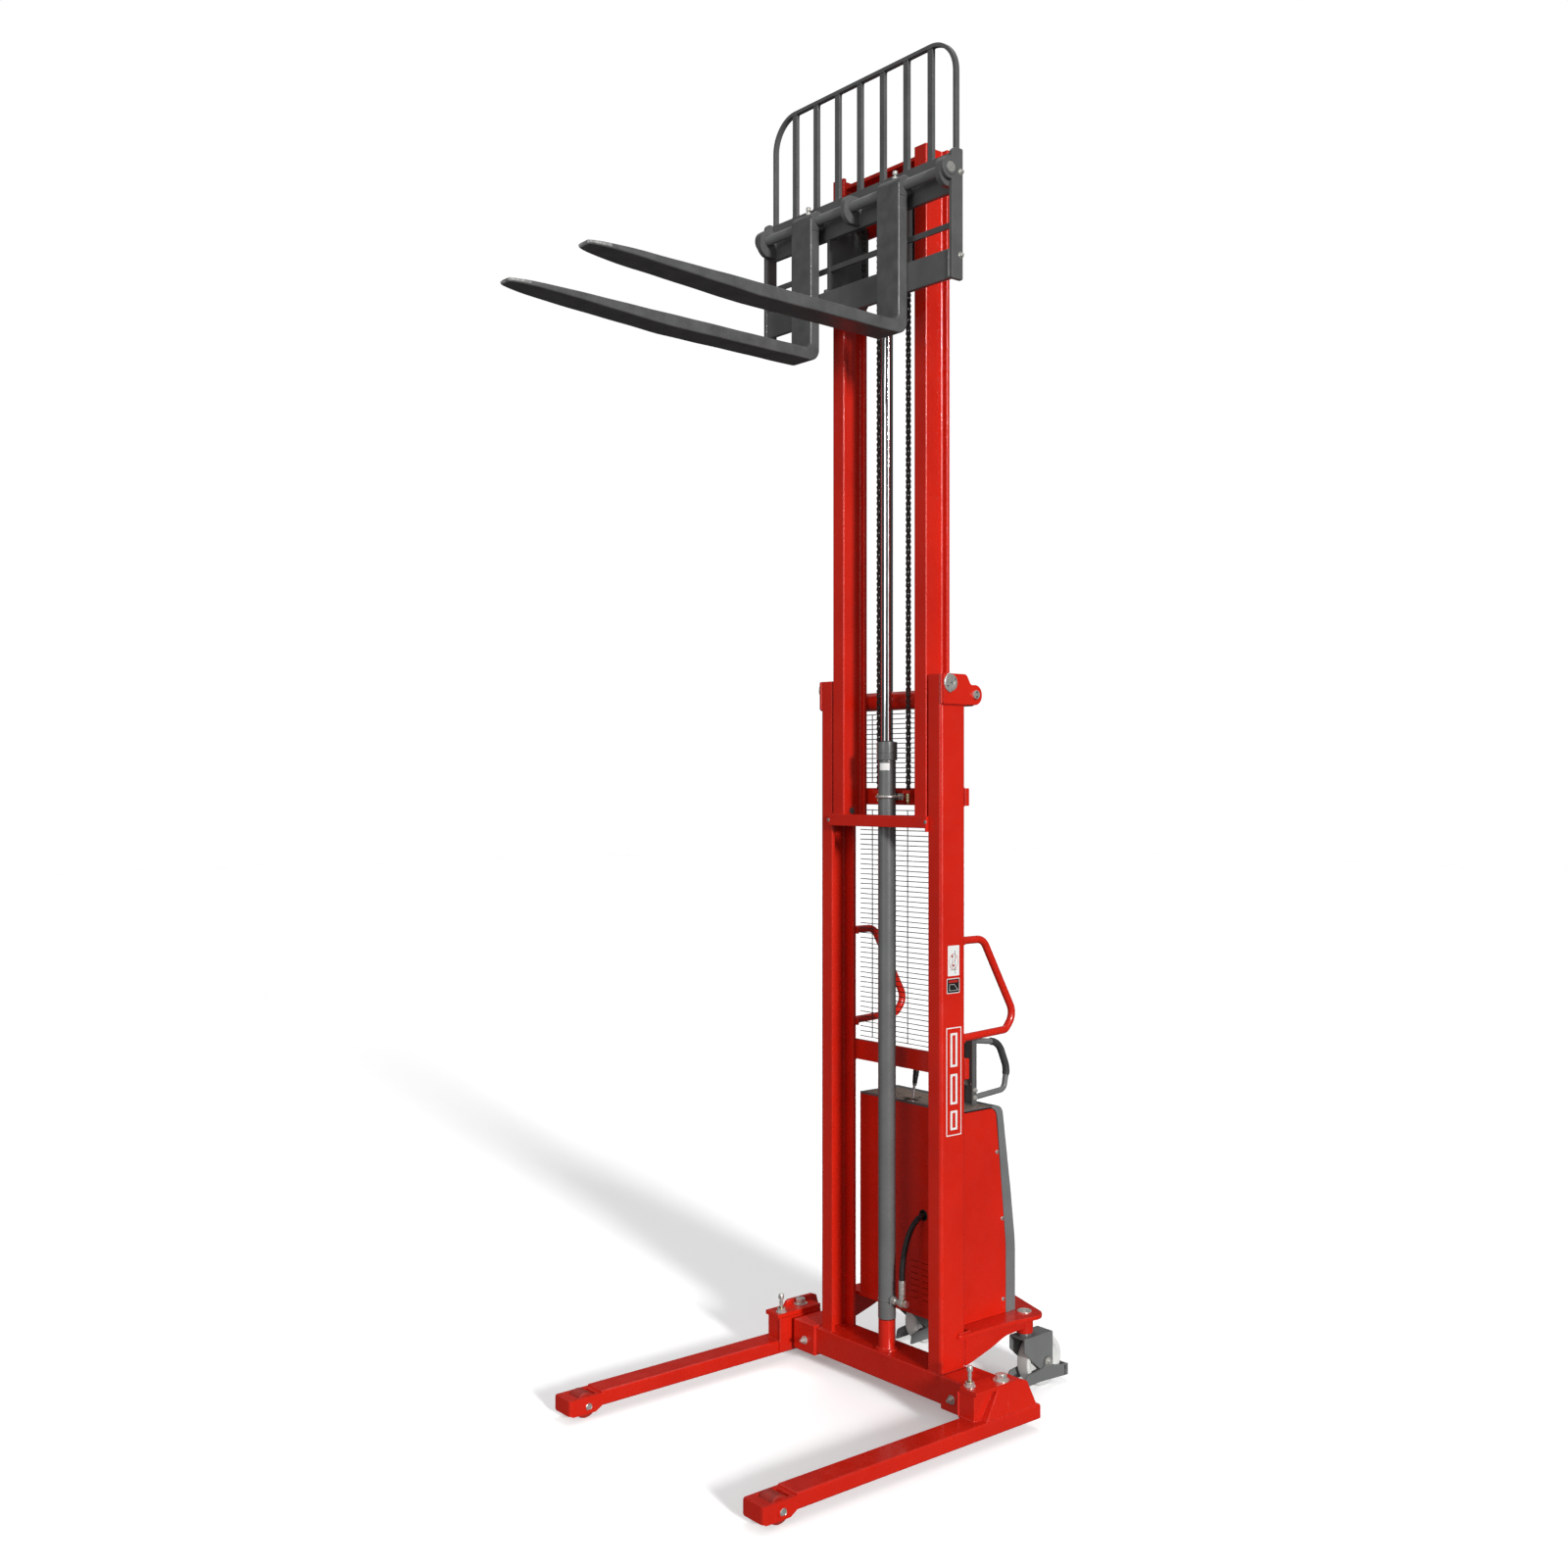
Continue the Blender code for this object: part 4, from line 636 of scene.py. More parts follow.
def handles():
    for word, side in SIDES:
        handle = Piece(f"push_handle_{word}_tube", side)
        x, high, low = 0.23, 1.334, 1.056
        corners = [(0.0988, high, 0), (0.196, high, 0.042), (0.327, 1.107, 0.045), (0.29, 1.064, 0.02),
                   (0.0995, low, 0)]
        handle.tube(bent([(x, *corner) for corner in corners], 12), 0.011, RED, 28)
        for z in (high, low):
            handle.box((0.197, 0.0985, z - 0.0105), (0.2505, 0.104, z + 0.0105), RED, 0.0016, 3)
            handle.bolt((0.206, 0.104, z), (0, 1, 0), 0.0048, RED, False)
            ring = [(a, 0.1042, b) for a, b in arc(x, z, 0.012, 0, 360, 60)]
            handle.tube(ring, 0.0018, WELD_RED, 8, (0.16, 15))
        handle.done("chassis", "red_paint", f"push_handle_{word}")
    post = Piece("side_handle_channel")
    channel = rounded([(0.115, 0.221, 0), (0.1195, 0.221, 0), (0.1195, 0.2365, 0.001),
                       (0.1605, 0.2365, 0.001),
                       (0.1605, 0.221, 0), (0.165, 0.221, 0), (0.165, 0.241, 0.0035),
                       (0.115, 0.241, 0.0035)], 4)
    post.slab(channel, "XY", 0.8415, 1.04, GREY, 0.0008)
    post.box((0.112, 0.219, 0.8413), (0.168, 0.243, 0.8445), GREY, 0.0008)
    for z in (0.862, 0.884):
        post.bolt((0.165, 0.232, z), (1, 0, 0), 0.0055, length=0.003)
    post.bolt((0.126, 0.2365, 0.9), (0, -1, 0), 0.0055, length=0.003)
    post.bolt((0.152, 0.2365, 0.9), (0, -1, 0), 0.0055, length=0.003)
    post.done("chassis", "grey_paint", "side_handle_post")
    loop = Piece("side_handle_loop")
    corners = [(0.2415, 1.026, 0), (0.352, 1.012, 0.055), (0.388, 0.93, 0.06), (0.376, 0.868, 0.022),
               (0.2415, 0.858, 0)]
    path = bent([(0.146, *corner) for corner in corners], 12)
    loop.tube(path, 0.0085, PALE_GREY, 24)
    sleeve = [p for p in path if 0.262 < p.y and p.z > 0.905]
    loop.tube(sleeve, 0.0108, GRIP, 28)
    for end in (sleeve[0], sleeve[-1]):
        loop.turned([(0.0084, -0.0012), (0.0112, -0.0012), (0.0112, 0.0012), (0.0084, 0.0012)], "Y", end,
                    GRIP, 28)
    loop.done("chassis", "grey_paint", "side_handle")


def guards():
    wire, upright = 0.00135, 0.153
    for word, low, high in (("lower", 1.011, 1.703), ("upper", 1.783, 1.99)):
        guard = Piece(f"mesh_guard_{word}_wires")
        rows = round((high - low - 0.003) / 0.015)
        pitch = (high - low - 0.003) / rows
        for i in range(rows + 1):
            z = low + 0.0015 + i * pitch
            sag = 0.0008 * math.sin(i * 1.9)
            places = ((-0.2035, 0), (-upright, sag), (0, 0), (upright, -sag), (0.2035, 0))
            guard.tube([(x, 0.1158, z + dip) for x, dip in places], wire, WIRE, 6)
        for x in (-upright, 0.0, upright):
            guard.tube([(x, 0.118, z) for z in (low, (low + high) / 2, high)], wire, WIRE, 6)
        guard.done("chassis", "black_steel", f"mesh_guard_{word}")


# The lift cylinder, its clamp and hose

BARREL_R, ROD_R = 0.026, 0.0175
BARREL_BOTTOM, BARREL_TOP, GLAND_TOP = 0.217, 1.849, 1.903


def cylinder():
    centre = (0, CYLINDER_Y, 0)
    barrel = Piece("cylinder_barrel_tube")
    barrel.turned([(0.02, BARREL_BOTTOM), (BARREL_R, BARREL_BOTTOM + 0.003), (BARREL_R, 0.2725),
                   (0.0272, 0.2735), (0.0276, 0.275), (0.0272, 0.2765), (BARREL_R, 0.2775),
                   (BARREL_R, 1.845), (0.0252, BARREL_TOP), (0.0225, BARREL_TOP),
                   (0.0225, BARREL_BOTTOM + 0.018), (0, BARREL_BOTTOM + 0.018)], "Z", centre, BARREL, 72)
    # A plain label under the gland, wrapped round the barrel's front
    film = arc(0, CYLINDER_Y, 0.0263, -95, -25, 7) + arc(0, CYLINDER_Y, 0.0255, -25, -95, 7)
    barrel.slab(film, "XY", 1.82, 1.841, WHITE, 0)
    barrel.done("chassis", "barrel_paint", "cylinder_barrel")
    gland = Piece("cylinder_gland_ring")
    gland.turned([(ROD_R + 0.0004, GLAND_TOP - 0.002), (0.02, GLAND_TOP), (0.0285, GLAND_TOP),
                  (0.03, GLAND_TOP - 0.002), (0.03, 1.8715), (0.0288, 1.8705), (0.0288, 1.8685),
                  (0.03, 1.8675),
                  (0.03, 1.8512), (0.029, BARREL_TOP + 0.0004), (ROD_R + 0.0004, BARREL_TOP + 0.0004)],
                 "Z", centre, BARREL, 72)
    gland.turned([(ROD_R + 0.0002, GLAND_TOP - 0.001), (0.0205, GLAND_TOP - 0.001),
                  (0.0198, GLAND_TOP + 0.0022),
                  (ROD_R + 0.0002, GLAND_TOP + 0.003)], "Z", centre, RUBBER, 56)
    gland.done("chassis", "barrel_paint", "cylinder_gland")
    rod = Piece("piston_rod_and_head")
    rod.turned([(0, 3.4893), (ROD_R - 0.0012, 3.4893), (ROD_R, 3.4875), (ROD_R, 1.79), (0.022, 1.79),
                (0.022, 1.755), (0, 1.755)], "Z", centre, CHROME, 64)
    rod.turned([(ROD_R - 0.0002, 3.476), (0.024, 3.477), (0.024, 3.4893), (ROD_R - 0.0002, 3.4895)], "Z",
               centre, STEEL, 48)
    rod.done("inner_mast", "chrome_rod", "piston_rod")


def cylinder_clamp():
    z, reach = 1.743, BARREL_R + 0.0045
    clamp = Piece("cylinder_u_bolt")
    route = [(reach, 0.0735), *arc(0, CYLINDER_Y, reach, 0, -180, 32), (-reach, 0.0735)]
    clamp.tube([(x, y, z) for x, y in route], 0.004, ZINC, 20)
    for x in (reach, -reach):
        clamp.bar((x, 0.0505, z), (x, 0.06, z), 0.0072, ZINC, 6, 0.0006)
    clamp.box((-0.04, 0.06, z - 0.01), (0.04, 0.0635, z + 0.01), ZINC, 0.001)
    clamp.done("chassis", "zinc_plate", "cylinder_clamp")


HOSE_RADIUS = 0.0085
HOSE_ROUTE = [
    (0.1652, 0.5164), (0.15, 0.5164), (0.135, 0.5164), (0.12, 0.516), (0.105, 0.5125), (0.089, 0.503),
    (0.073, 0.487), (0.06, 0.466), (0.049, 0.44), (0.041, 0.412), (0.036, 0.385), (0.034, 0.362),
    (0.034, 0.3423),
]


def smooth(points, steps):
    """A Catmull-Rom curve through points."""
    points = [Vector(p) for p in points]
    padded = [2 * points[0] - points[1], *points, 2 * points[-1] - points[-2]]
    path = []
    for a, b, c, d in zip(padded, padded[1:], padded[2:], padded[3:]):
        for i in range(steps):
            t = i / steps
            path.append(0.5 * (2 * b + (c - a) * t + (2 * a - 5 * b + 4 * c - d) * t * t
                               + (3 * b - a - 3 * c + d) * t ** 3))
    return [*path, points[-1]]


def hose():
    fitting = Piece("banjo_fitting")
    x, y, z = HOSE_X, CYLINDER_Y, 0.276
    fitting.bar((BARREL_R - 0.001, y, z), (0.0285, y, z), 0.0165, BARREL, 32, 0.0008)
    fitting.bar((0.028, y, z), (0.04, y, z), 0.0125, ZINC, 6, 0.001)
    fitting.bar((0.04, y, z), (0.0555, y, z), 0.0078, ZINC, 24)
    fitting.turned([(0.011, -0.0085), (0.0128, -0.0065), (0.0132, 0), (0.0128, 0.0065), (0.011, 0.0085),
                    (0, 0.0085)], "X", (x, y, z), ZINC, 36)
    fitting.bar((0.0555, y, z), (0.075, y, z), 0.0082, ZINC, 24)
    fitting.bar((0.0725, y, z), (0.0745, y, z), 0.012, BRASS, 28, 0.0004)
    fitting.bar((0.074, y, z), (0.0835, y, z), 0.0112, ZINC, 6, 0.001)
    fitting.bar((x, y, z + 0.006), (x, y, 0.302), 0.0074, ZINC, 24)
    fitting.bar((x, y, 0.29), (x, y, 0.3), 0.0105, ZINC, 6, 0.0008)
    sleeve = [(0.0074, 0.3), (0.0104, 0.3012)]
    for i in range(5):
        base = 0.304 + 0.0072 * i
        sleeve += [(0.0107, base), (0.0107, base + 0.0044), (0.0098, base + 0.005), (0.0098, base + 0.0066)]
    sleeve += [(0.0106, 0.3405), (0.01, 0.342), (0.007, 0.342)]
    fitting.turned(sleeve, "Z", (x, y, 0), ZINC, 40)
    fitting.done("chassis", "zinc_plate", "hose_fitting")
    hose_piece = Piece("hydraulic_hose_tube")
    hose_piece.tube(smooth([(HOSE_X, y, z) for y, z in HOSE_ROUTE], 6), HOSE_RADIUS, RUBBER, 28)
    hose_piece.done("chassis", "black_rubber", "hydraulic_hose")


# Chains and their pulleys

CHAIN_X = 0.062
PULLEY_Y, PULLEY_Z, PULLEY_R = 0.0305, 3.462, 0.0305
CHAIN_PITCH, PLATE_HALF = 0.0159, 0.006


def link_outline(first, last, half):
    """A leaf plate's outline round two pins, given as (y, z) points."""
    first, last = Vector(first), Vector(last)
    along = (last - first).normalized()
    across = Vector((-along.y, along.x))
    points = []
    for centre, turn in ((last, 0), (first, math.pi)):
        for i in range(7):
            a = turn - math.pi / 2 + math.pi * i / 6
            points.append(centre + along * math.cos(a) * half + across * math.sin(a) * half)
    middle = (first + last) / 2
    waist = half * 0.55
    points.insert(7, middle + across * waist)
    points.append(middle - across * waist)
    return points


def chain(name, side, pins):
    """A leaf chain through pins, a list of (y, z): outer and inner plates by turns, and the pin ends."""
    piece = Piece(name, side)
    for i, (first, last) in enumerate(zip(pins, pins[1:])):
        layers = ((0.0044, 0.0057), (-0.0057, -0.0044)) if i % 2 else ((0.0028, 0.0041), (-0.0041, -0.0028))
        for low, high in layers:
            piece.slab(link_outline(first, last, PLATE_HALF), "YZ", CHAIN_X + low, CHAIN_X + high,
                       CHAIN_STEEL, 0)
    for y, z in pins:
        piece.bar((CHAIN_X - 0.0066, y, z), (CHAIN_X + 0.0066, y, z), 0.0023, STEEL, 10, 0)
        piece.bar((CHAIN_X - 0.0027, y, z), (CHAIN_X + 0.0027, y, z), 0.0042, CHAIN_STEEL, 14, 0)
    return piece


def pins_between(y, low, high):
    count = round((high - low) / CHAIN_PITCH)
    return [(y, low + (high - low) * i / count) for i in range(count + 1)]


def chains():
    rear, front = PULLEY_Y + PULLEY_R, PULLEY_Y - PULLEY_R
    for word, side in SIDES:
        run = chain(f"chain_rear_{word}_links", side, pins_between(rear, 1.768, 3.456))
        thing = run.done("", "black_steel", f"chain_rear_{word}")
        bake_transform(thing)
        run = chain(f"chain_front_{word}_links", side, pins_between(front, 3.213, 3.456))
        thing = run.done("", "black_steel", f"chain_front_{word}")
        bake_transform(thing)
        over = arc(PULLEY_Y, PULLEY_Z, PULLEY_R, 0, 180, 6)
        over = [(over[0][0], over[0][1] - 0.006), *over, (over[-1][0], over[-1][1] - 0.006)]
        chain(f"chain_over_pulley_{word}", side, over).done("inner_mast", "black_steel")
        pulley = Piece(f"chain_pulley_{word}_wheel", side)
        rim = PULLEY_R - 0.0058
        half = [(0.0085, 0.009), (0.0125, 0.009), (0.013, 0.0075), (0.019, 0.0075), (0.0195, 0.009),
                (rim + 0.003, 0.009), (rim + 0.0034, 0.0084), (rim, 0.008)]
        pulley.turned(mirrored(half), "X", (CHAIN_X, PULLEY_Y, PULLEY_Z), STEEL, 56)
        # Four holes through the pulley's web, drawn as black rods of painted shade
        for i in range(4):
            a = math.tau * (i + 0.5) / 4
            spot = Vector((CHAIN_X, PULLEY_Y + 0.016 * math.cos(a), PULLEY_Z + 0.016 * math.sin(a)))
            pulley.bar(spot - Vector((0.0076, 0, 0)), spot + Vector((0.0076, 0, 0)), 0.0016, BLACK_PRINT_AND_HOLE_SHADE, 12, 0)
        pulley.done(f"pulley_{word}", "bare_steel", f"chain_pulley_{word}")
    axle = Piece("pulley_axle_rod")
    axle.bar((-0.0905, PULLEY_Y, PULLEY_Z), (0.0905, PULLEY_Y, PULLEY_Z), 0.008, STEEL, 32, 0.001)
    for _ in axle.sides():
        axle.turned([(0.0078, 0.0866), (0.0108, 0.0866), (0.0108, 0.0878), (0.0078, 0.0878)], "X",
                    (0, PULLEY_Y, PULLEY_Z), ZINC, 32)
    axle.done("inner_mast", "bare_steel", "pulley_axle")


# The moving mast

INNER_OUT, INNER_IN, INNER_FRONT, INNER_BACK = 0.198, 0.15, -0.002, 0.094
INNER_BOTTOM, INNER_TOP = 1.655, 3.588
ROLLER_Y_OUTER, ROLLER_R_OUTER, ROLLER_Y_INNER, ROLLER_R_INNER = 0.049, 0.0365, 0.046, 0.0355
INNER_ROLLER_Z, OUTER_ROLLER_Z = 1.7, 2.045
CARRIAGE_ROLLERS = (("lower", 3.24), ("upper", 3.41))


def inner_outline():
    middle, half = (INNER_OUT + INNER_IN) / 2, WEB / 2
    front, back, lip, root = INNER_FRONT, INNER_BACK, 0.003, 0.005
    return rounded([
        (INNER_IN, front, lip), (INNER_OUT, front, lip), (INNER_OUT, front + FLANGE, 0.002),
        (middle + half, front + FLANGE, root), (middle + half, back - FLANGE, root),
                    (INNER_OUT, back - FLANGE, 0.002),
        (INNER_OUT, back, lip), (INNER_IN, back, lip), (INNER_IN, back - FLANGE, 0.002),
        (middle - half, back - FLANGE, root), (middle - half, front + FLANGE, root),
                    (INNER_IN, front + FLANGE, 0.002),
    ], 4)


def inner_mast():
    mast = Piece("inner_mast_welded")
    for _ in mast.sides():
        mast.slab(inner_outline(), "XY", INNER_BOTTOM, INNER_TOP, RED, 0.0008)
        ear = rounded([(0.012, 3.44, 0.016), (0.012, 3.495, 0.002), (0.049, 3.495, 0.002),
                       (0.049, 3.44, 0.016)], 8)
        mast.slab(ear, "YZ", 0.078, 0.086, RED, 0.001)
        mast.weld((0.0765, 0.014, 3.4905), (0.0765, 0.047, 3.4905), 0.0022)
        mast.bar((0.168, ROLLER_Y_OUTER, INNER_ROLLER_Z), (0.2375, ROLLER_Y_OUTER, INNER_ROLLER_Z), 0.01,
                 STEEL, 24)
        mast.turned([(0.01, 0.2374), (0.015, 0.2374), (0.015, 0.2386), (0, 0.2386)], "X",
                    (0, ROLLER_Y_OUTER, INNER_ROLLER_Z), ZINC, 32)
        mast.bar((0.1775, ROLLER_Y_OUTER, INNER_ROLLER_Z), (0.19, ROLLER_Y_OUTER, INNER_ROLLER_Z), 0.022,
                 RED, 36, 0.0015)
        for z in (3.4205, 3.5655):
            mast.weld((0.1495, 0.085, z), (0.1495, 0.0935, z), 0.0022)
        mast.weld((0.1495, 0.0835, 3.424), (0.1495, 0.0835, 3.562), 0.0022)
        mast.weld((0.1495, 0.008, 3.5535), (0.1495, 0.088, 3.5535), 0.0022)
        # The screws that hold the foot tie, and the weld beside each; each screw's hexagon socket is a black
        # hexagon of painted shade
        mast.turned([(0.0052, 0), (0.0052, -0.0004), (0.004, -0.001), (0, -0.001)], "Y",
                    (0.206, INNER_FRONT - 0.011, 1.6725), ZINC, 24)
        mast.bar((0.206, INNER_FRONT - 0.0116, 1.6725), (0.206, INNER_FRONT - 0.0122, 1.6725), 0.0021, BLACK_PRINT_AND_HOLE_SHADE,
                 6, 0)
        mast.weld((0.152, INNER_FRONT - 0.001, 1.6908), (0.196, INNER_FRONT - 0.001, 1.6908), 0.002)
    mast.box((-0.155, INNER_BACK - 0.011, 3.42), (0.155, INNER_BACK - 0.001, 3.566), RED, 0.0012)
    mast.box((-0.155, 0.004, 3.554), (0.155, INNER_BACK - 0.004, 3.565), RED, 0.0012)
    mast.box((-0.094, 0.004, 3.49), (0.094, INNER_BACK - 0.006, 3.51), RED, 0.0016)
    mast.weld((-0.09, 0.0825, 3.4895), (0.09, 0.0825, 3.4895), 0.0024)
    mast.weld((-0.148, 0.0825, 3.5535), (0.148, 0.0825, 3.5535), 0.0024)
    mast.box((-0.208, INNER_FRONT - 0.011, 1.6554), (0.208, INNER_FRONT + 0.001, 1.6895), RED, 0.0022, 3)
    mast.box((0.2035, INNER_FRONT - 0.0108, 1.645), (0.2085, INNER_FRONT + 0.0006, 1.689), RED, 0.0012)
    mast.done("inner_mast", "red_paint", "inner_mast_frame")


def roller(node_name, body, side, centre, radius, half, bore=0.0105):
    piece = Piece(f"{node_name}_ring", side)
    inner, outer, step = radius * 0.62, radius * 0.8, 0.0016
    profile = [(bore, half - 0.001), (bore + 0.005, half - 0.001), (bore + 0.0055, half), (inner, half),
               (inner, half - step), (outer, half - step), (outer, half), (radius - 0.0015, half),
               (radius, half - 0.0015)]
    piece.turned(mirrored(profile), "X", centre, STEEL, 60)
    piece.done(body, "bare_steel", node_name)


def rollers():
    for word, side in SIDES:
        roller(f"outer_mast_roller_{word}", f"outer_roller_{word}", side,
               (0.1925, ROLLER_Y_INNER, OUTER_ROLLER_Z), ROLLER_R_INNER, 0.01)
        roller(f"inner_mast_roller_{word}", f"inner_roller_{word}", side,
               (0.2225, ROLLER_Y_OUTER, INNER_ROLLER_Z), ROLLER_R_OUTER, 0.0145)
        for place, z in CARRIAGE_ROLLERS:
            roller(f"carriage_roller_{place}_{word}", f"{place}_roller_{word}", side,
                   (0.154, ROLLER_Y_INNER, z), ROLLER_R_INNER, 0.0125)


# The carriage, backrest and forks

SHAFT_Y, SHAFT_Z, SHAFT_R = -0.11, 3.434, 0.0145
FORK_X, FORK_WIDTH, FORK_THICK = 0.185, 0.09, 0.035
FORK_FRONT, FORK_TOP, FORK_TIP = -0.14, 3.056, -1.13
FORK_RISE, HEEL_FRONT, HEEL_REAR, TAPER_START = 0.014, 0.018, 0.034, -0.64
CARRIAGE_BACK = -0.063


def eye_outline():
    return rounded([(-0.141, 3.466, 0.031), (CARRIAGE_BACK - 0.004, 3.466, 0.003),
                    (CARRIAGE_BACK - 0.004, 3.386, 0), (-0.12, 3.386, 0.02), (-0.141, 3.404, 0.031)], 12)


def carriage():
    welded = Piece("carriage_welded")
    welded.box((-0.3895, -0.1045, 3.14), (0.3895, -0.0895, 3.22), GREY, 0.0022, 3)
    welded.box((-0.3895, -0.078, 3.382), (0.3895, CARRIAGE_BACK, 3.453), GREY, 0.0022, 3)
    welded.box((-0.3895, -0.074, 3.288), (0.3895, -0.066, 3.304), GREY, 0.0014)
    bore = circle(SHAFT_Y, SHAFT_Z, SHAFT_R + 0.0005, 40)
    welded.slab(eye_outline(), "YZ", -0.008, 0.008, GREY, 0.0012, [bore])
    for x in (-0.0085, 0.0085):
        welded.weld((x, -0.0785, 3.388), (x, -0.0785, 3.452), 0.0024, GREY)
    plate = rounded([(-0.09, 3.2, 0.004), (0.08, 3.2, 0.02), (0.08, 3.4525, 0.02), (-0.0765, 3.4525, 0.004),
                     (-0.0765, 3.235, 0.004), (-0.09, 3.235, 0.004)], 8)
    for _ in welded.sides():
        bar_outline = rounded([(-0.105, 3.138, 0.006), (CARRIAGE_BACK, 3.138, 0.004),
                               (CARRIAGE_BACK, 3.492, 0.004), (-0.105, 3.492, 0.018)], 8)
        welded.slab(bar_outline, "YZ", 0.3885, 0.4005, GREY, 0.0014)
        welded.slab(eye_outline(), "YZ", 0.372, 0.389, GREY, 0.0012, [bore])
        outer_eye = rounded([(-0.1405, 3.465, 0.03), (-0.092, 3.465, 0.004), (-0.092, 3.403, 0.004),
                             (-0.1405, 3.403, 0.03)], 12)
        welded.slab(outer_eye, "YZ", 0.388, 0.4004, GREY, 0.0012)
        welded.turned([(0.015, 0.4), (0.0212, 0.4), (0.0212, 0.4016), (0.0202, 0.4024), (0.016, 0.4024),
                       (0.015, 0.4016)], "X", (0, SHAFT_Y, SHAFT_Z), GREY, 48)
        welded.turned([(0.015, 0.4008), (0.0142, 0.4026), (0, 0.4026)], "X", (0, SHAFT_Y, SHAFT_Z), ZINC, 40)
        welded.slab(plate, "YZ", 0.128, 0.14, GREY, 0.0014)
        welded.weld((0.1275, -0.062, 3.384), (0.1275, -0.062, 3.45), 0.0024, GREY)
        welded.weld((0.3875, -0.0795, 3.384), (0.3875, -0.0795, 3.398), 0.0024, GREY)
        welded.weld((0.3875, -0.1055, 3.143), (0.3875, -0.1055, 3.216), 0.0024, GREY)
        welded.weld((0.1265, -0.0885, 3.2215), (0.1415, -0.0885, 3.2215), 0.0026, GREY)
        for _, z in CARRIAGE_ROLLERS:
            welded.bar((0.13, ROLLER_Y_INNER, z), (0.1675, ROLLER_Y_INNER, z), 0.01, STEEL, 24)
            welded.turned([(0.02, 0.126), (0.02, 0.129), (0, 0.129), (0, 0.126)], "X",
                          (0, ROLLER_Y_INNER, z), GREY, 36)
        for z in (3.204, 3.428):
            welded.bolt((0.4005, -0.072, z), (1, 0, 0), 0.0068, length=0.002)
        # The chain's anchor on the carriage: an angle with an eye bolt and nuts
        welded.box((0.049, -0.09, 3.195), (0.075, 0.009, 3.207), GREY, 0.0012)
        welded.bar((CHAIN_X, 0, 3.1915), (CHAIN_X, 0, 3.213), 0.0048, BRASS, 16, 0.0004)
        for low, high in ((3.1922, 3.1955), (3.2068, 3.2115)):
            welded.bar((CHAIN_X, 0, low), (CHAIN_X, 0, high), 0.0085, BRASS, 6, 0.0006)
    welded.done("carriage", "grey_paint", "carriage_frame")
    shaft = Piece("fork_shaft_rod")
    shaft.bar((-0.386, SHAFT_Y, SHAFT_Z), (0.386, SHAFT_Y, SHAFT_Z), SHAFT_R, PALE_GREY, 48, 0.001)
    shaft.done("carriage", "grey_paint", "fork_shaft")


def backrest():
    front, back, side, thick, corner = -0.0785, CARRIAGE_BACK, 0.388, 0.011, 0.1
    low, top = 3.4655, 3.81
    piece = Piece("load_backrest_welded")
    hoop = rounded([(-side, low, 0), (-side, top, corner), (side, top, corner), (side, low, 0)], 16)
    within, under, bend = side - thick, top - thick, corner - thick
    inner = rounded([(-within, low, 0), (-within, under, bend), (within, under, bend), (within, low, 0)], 16)
    piece.slab(hoop + inner[::-1], "XZ", front, back, GREY, 0.0012)
    piece.box((-side + 0.0005, front + 0.0003, low), (side - 0.0005, back - 0.0003, low + 0.025), GREY,
              0.0014)
    for i in range(7):
        x = (i - 3) * 0.096
        piece.box((x - 0.01, front + 0.002, low + 0.015), (x + 0.01, back - 0.002, top - 0.004), GREY,
                  0.0012)
        for z in (low + 0.0255, under - 0.0006):
            piece.weld((x - 0.009, front + 0.0022, z), (x + 0.009, front + 0.0022, z), 0.0021, GREY)
            piece.weld((x - 0.009, back - 0.0022, z), (x + 0.009, back - 0.0022, z), 0.0021, GREY)
    piece.weld((-0.377, front + 0.003, low + 0.0255), (-0.377, back - 0.003, low + 0.0255), 0.0022, GREY)
    piece.weld((0.377, front + 0.003, low + 0.0255), (0.377, back - 0.003, low + 0.0255), 0.0022, GREY)
    piece.done("carriage", "grey_paint", "load_backrest")


def rise(y):
    """How far the blade has risen at y: its tip stands FORK_RISE above its heel."""
    return FORK_RISE * max(0, (FORK_FRONT - y) / (FORK_FRONT - FORK_TIP))


def fork_sections(half):
    """From the shank's top to the blade's tip, each section's front point, rear point and half width."""
    back, under = FORK_FRONT + FORK_THICK, FORK_TOP - FORK_THICK
    steps = 14
    heights = [SHAFT_Z + (FORK_TOP + 0.02 - SHAFT_Z) * i / steps for i in range(steps + 1)]
    sections = [((FORK_FRONT, z), (back, z), half) for z in heights]
    fronts = arc(FORK_FRONT - HEEL_FRONT, FORK_TOP + HEEL_FRONT, HEEL_FRONT, 0, -90, 12)
    rears = arc(back - HEEL_REAR, under + HEEL_REAR, HEEL_REAR, 0, -90, 12)
    sections += [(front, rear, half) for front, rear in zip(fronts[1:], rears[1:])]
    length = FORK_FRONT - HEEL_FRONT - FORK_TIP
    count = 60
    for i in range(1, count + 1):
        t = 1 - (1 - i / count) ** 1.6
        y = FORK_FRONT - HEEL_FRONT - length * t
        rear_y = y + (back - HEEL_REAR - FORK_FRONT + HEEL_FRONT) * (1 - t)
        thin = max(0, (TAPER_START - y) / (TAPER_START - FORK_TIP))
        low = under + (FORK_THICK - 0.011) * min(1, thin)
        reach = (y - FORK_TIP) / 0.17
        wide = half if reach >= 1 else 0.02 + (half - 0.02) * math.sin(min(1, reach ** 0.62) * math.pi / 2)
        sections.append(((y, FORK_TOP), (rear_y, low), wide))
    return sections


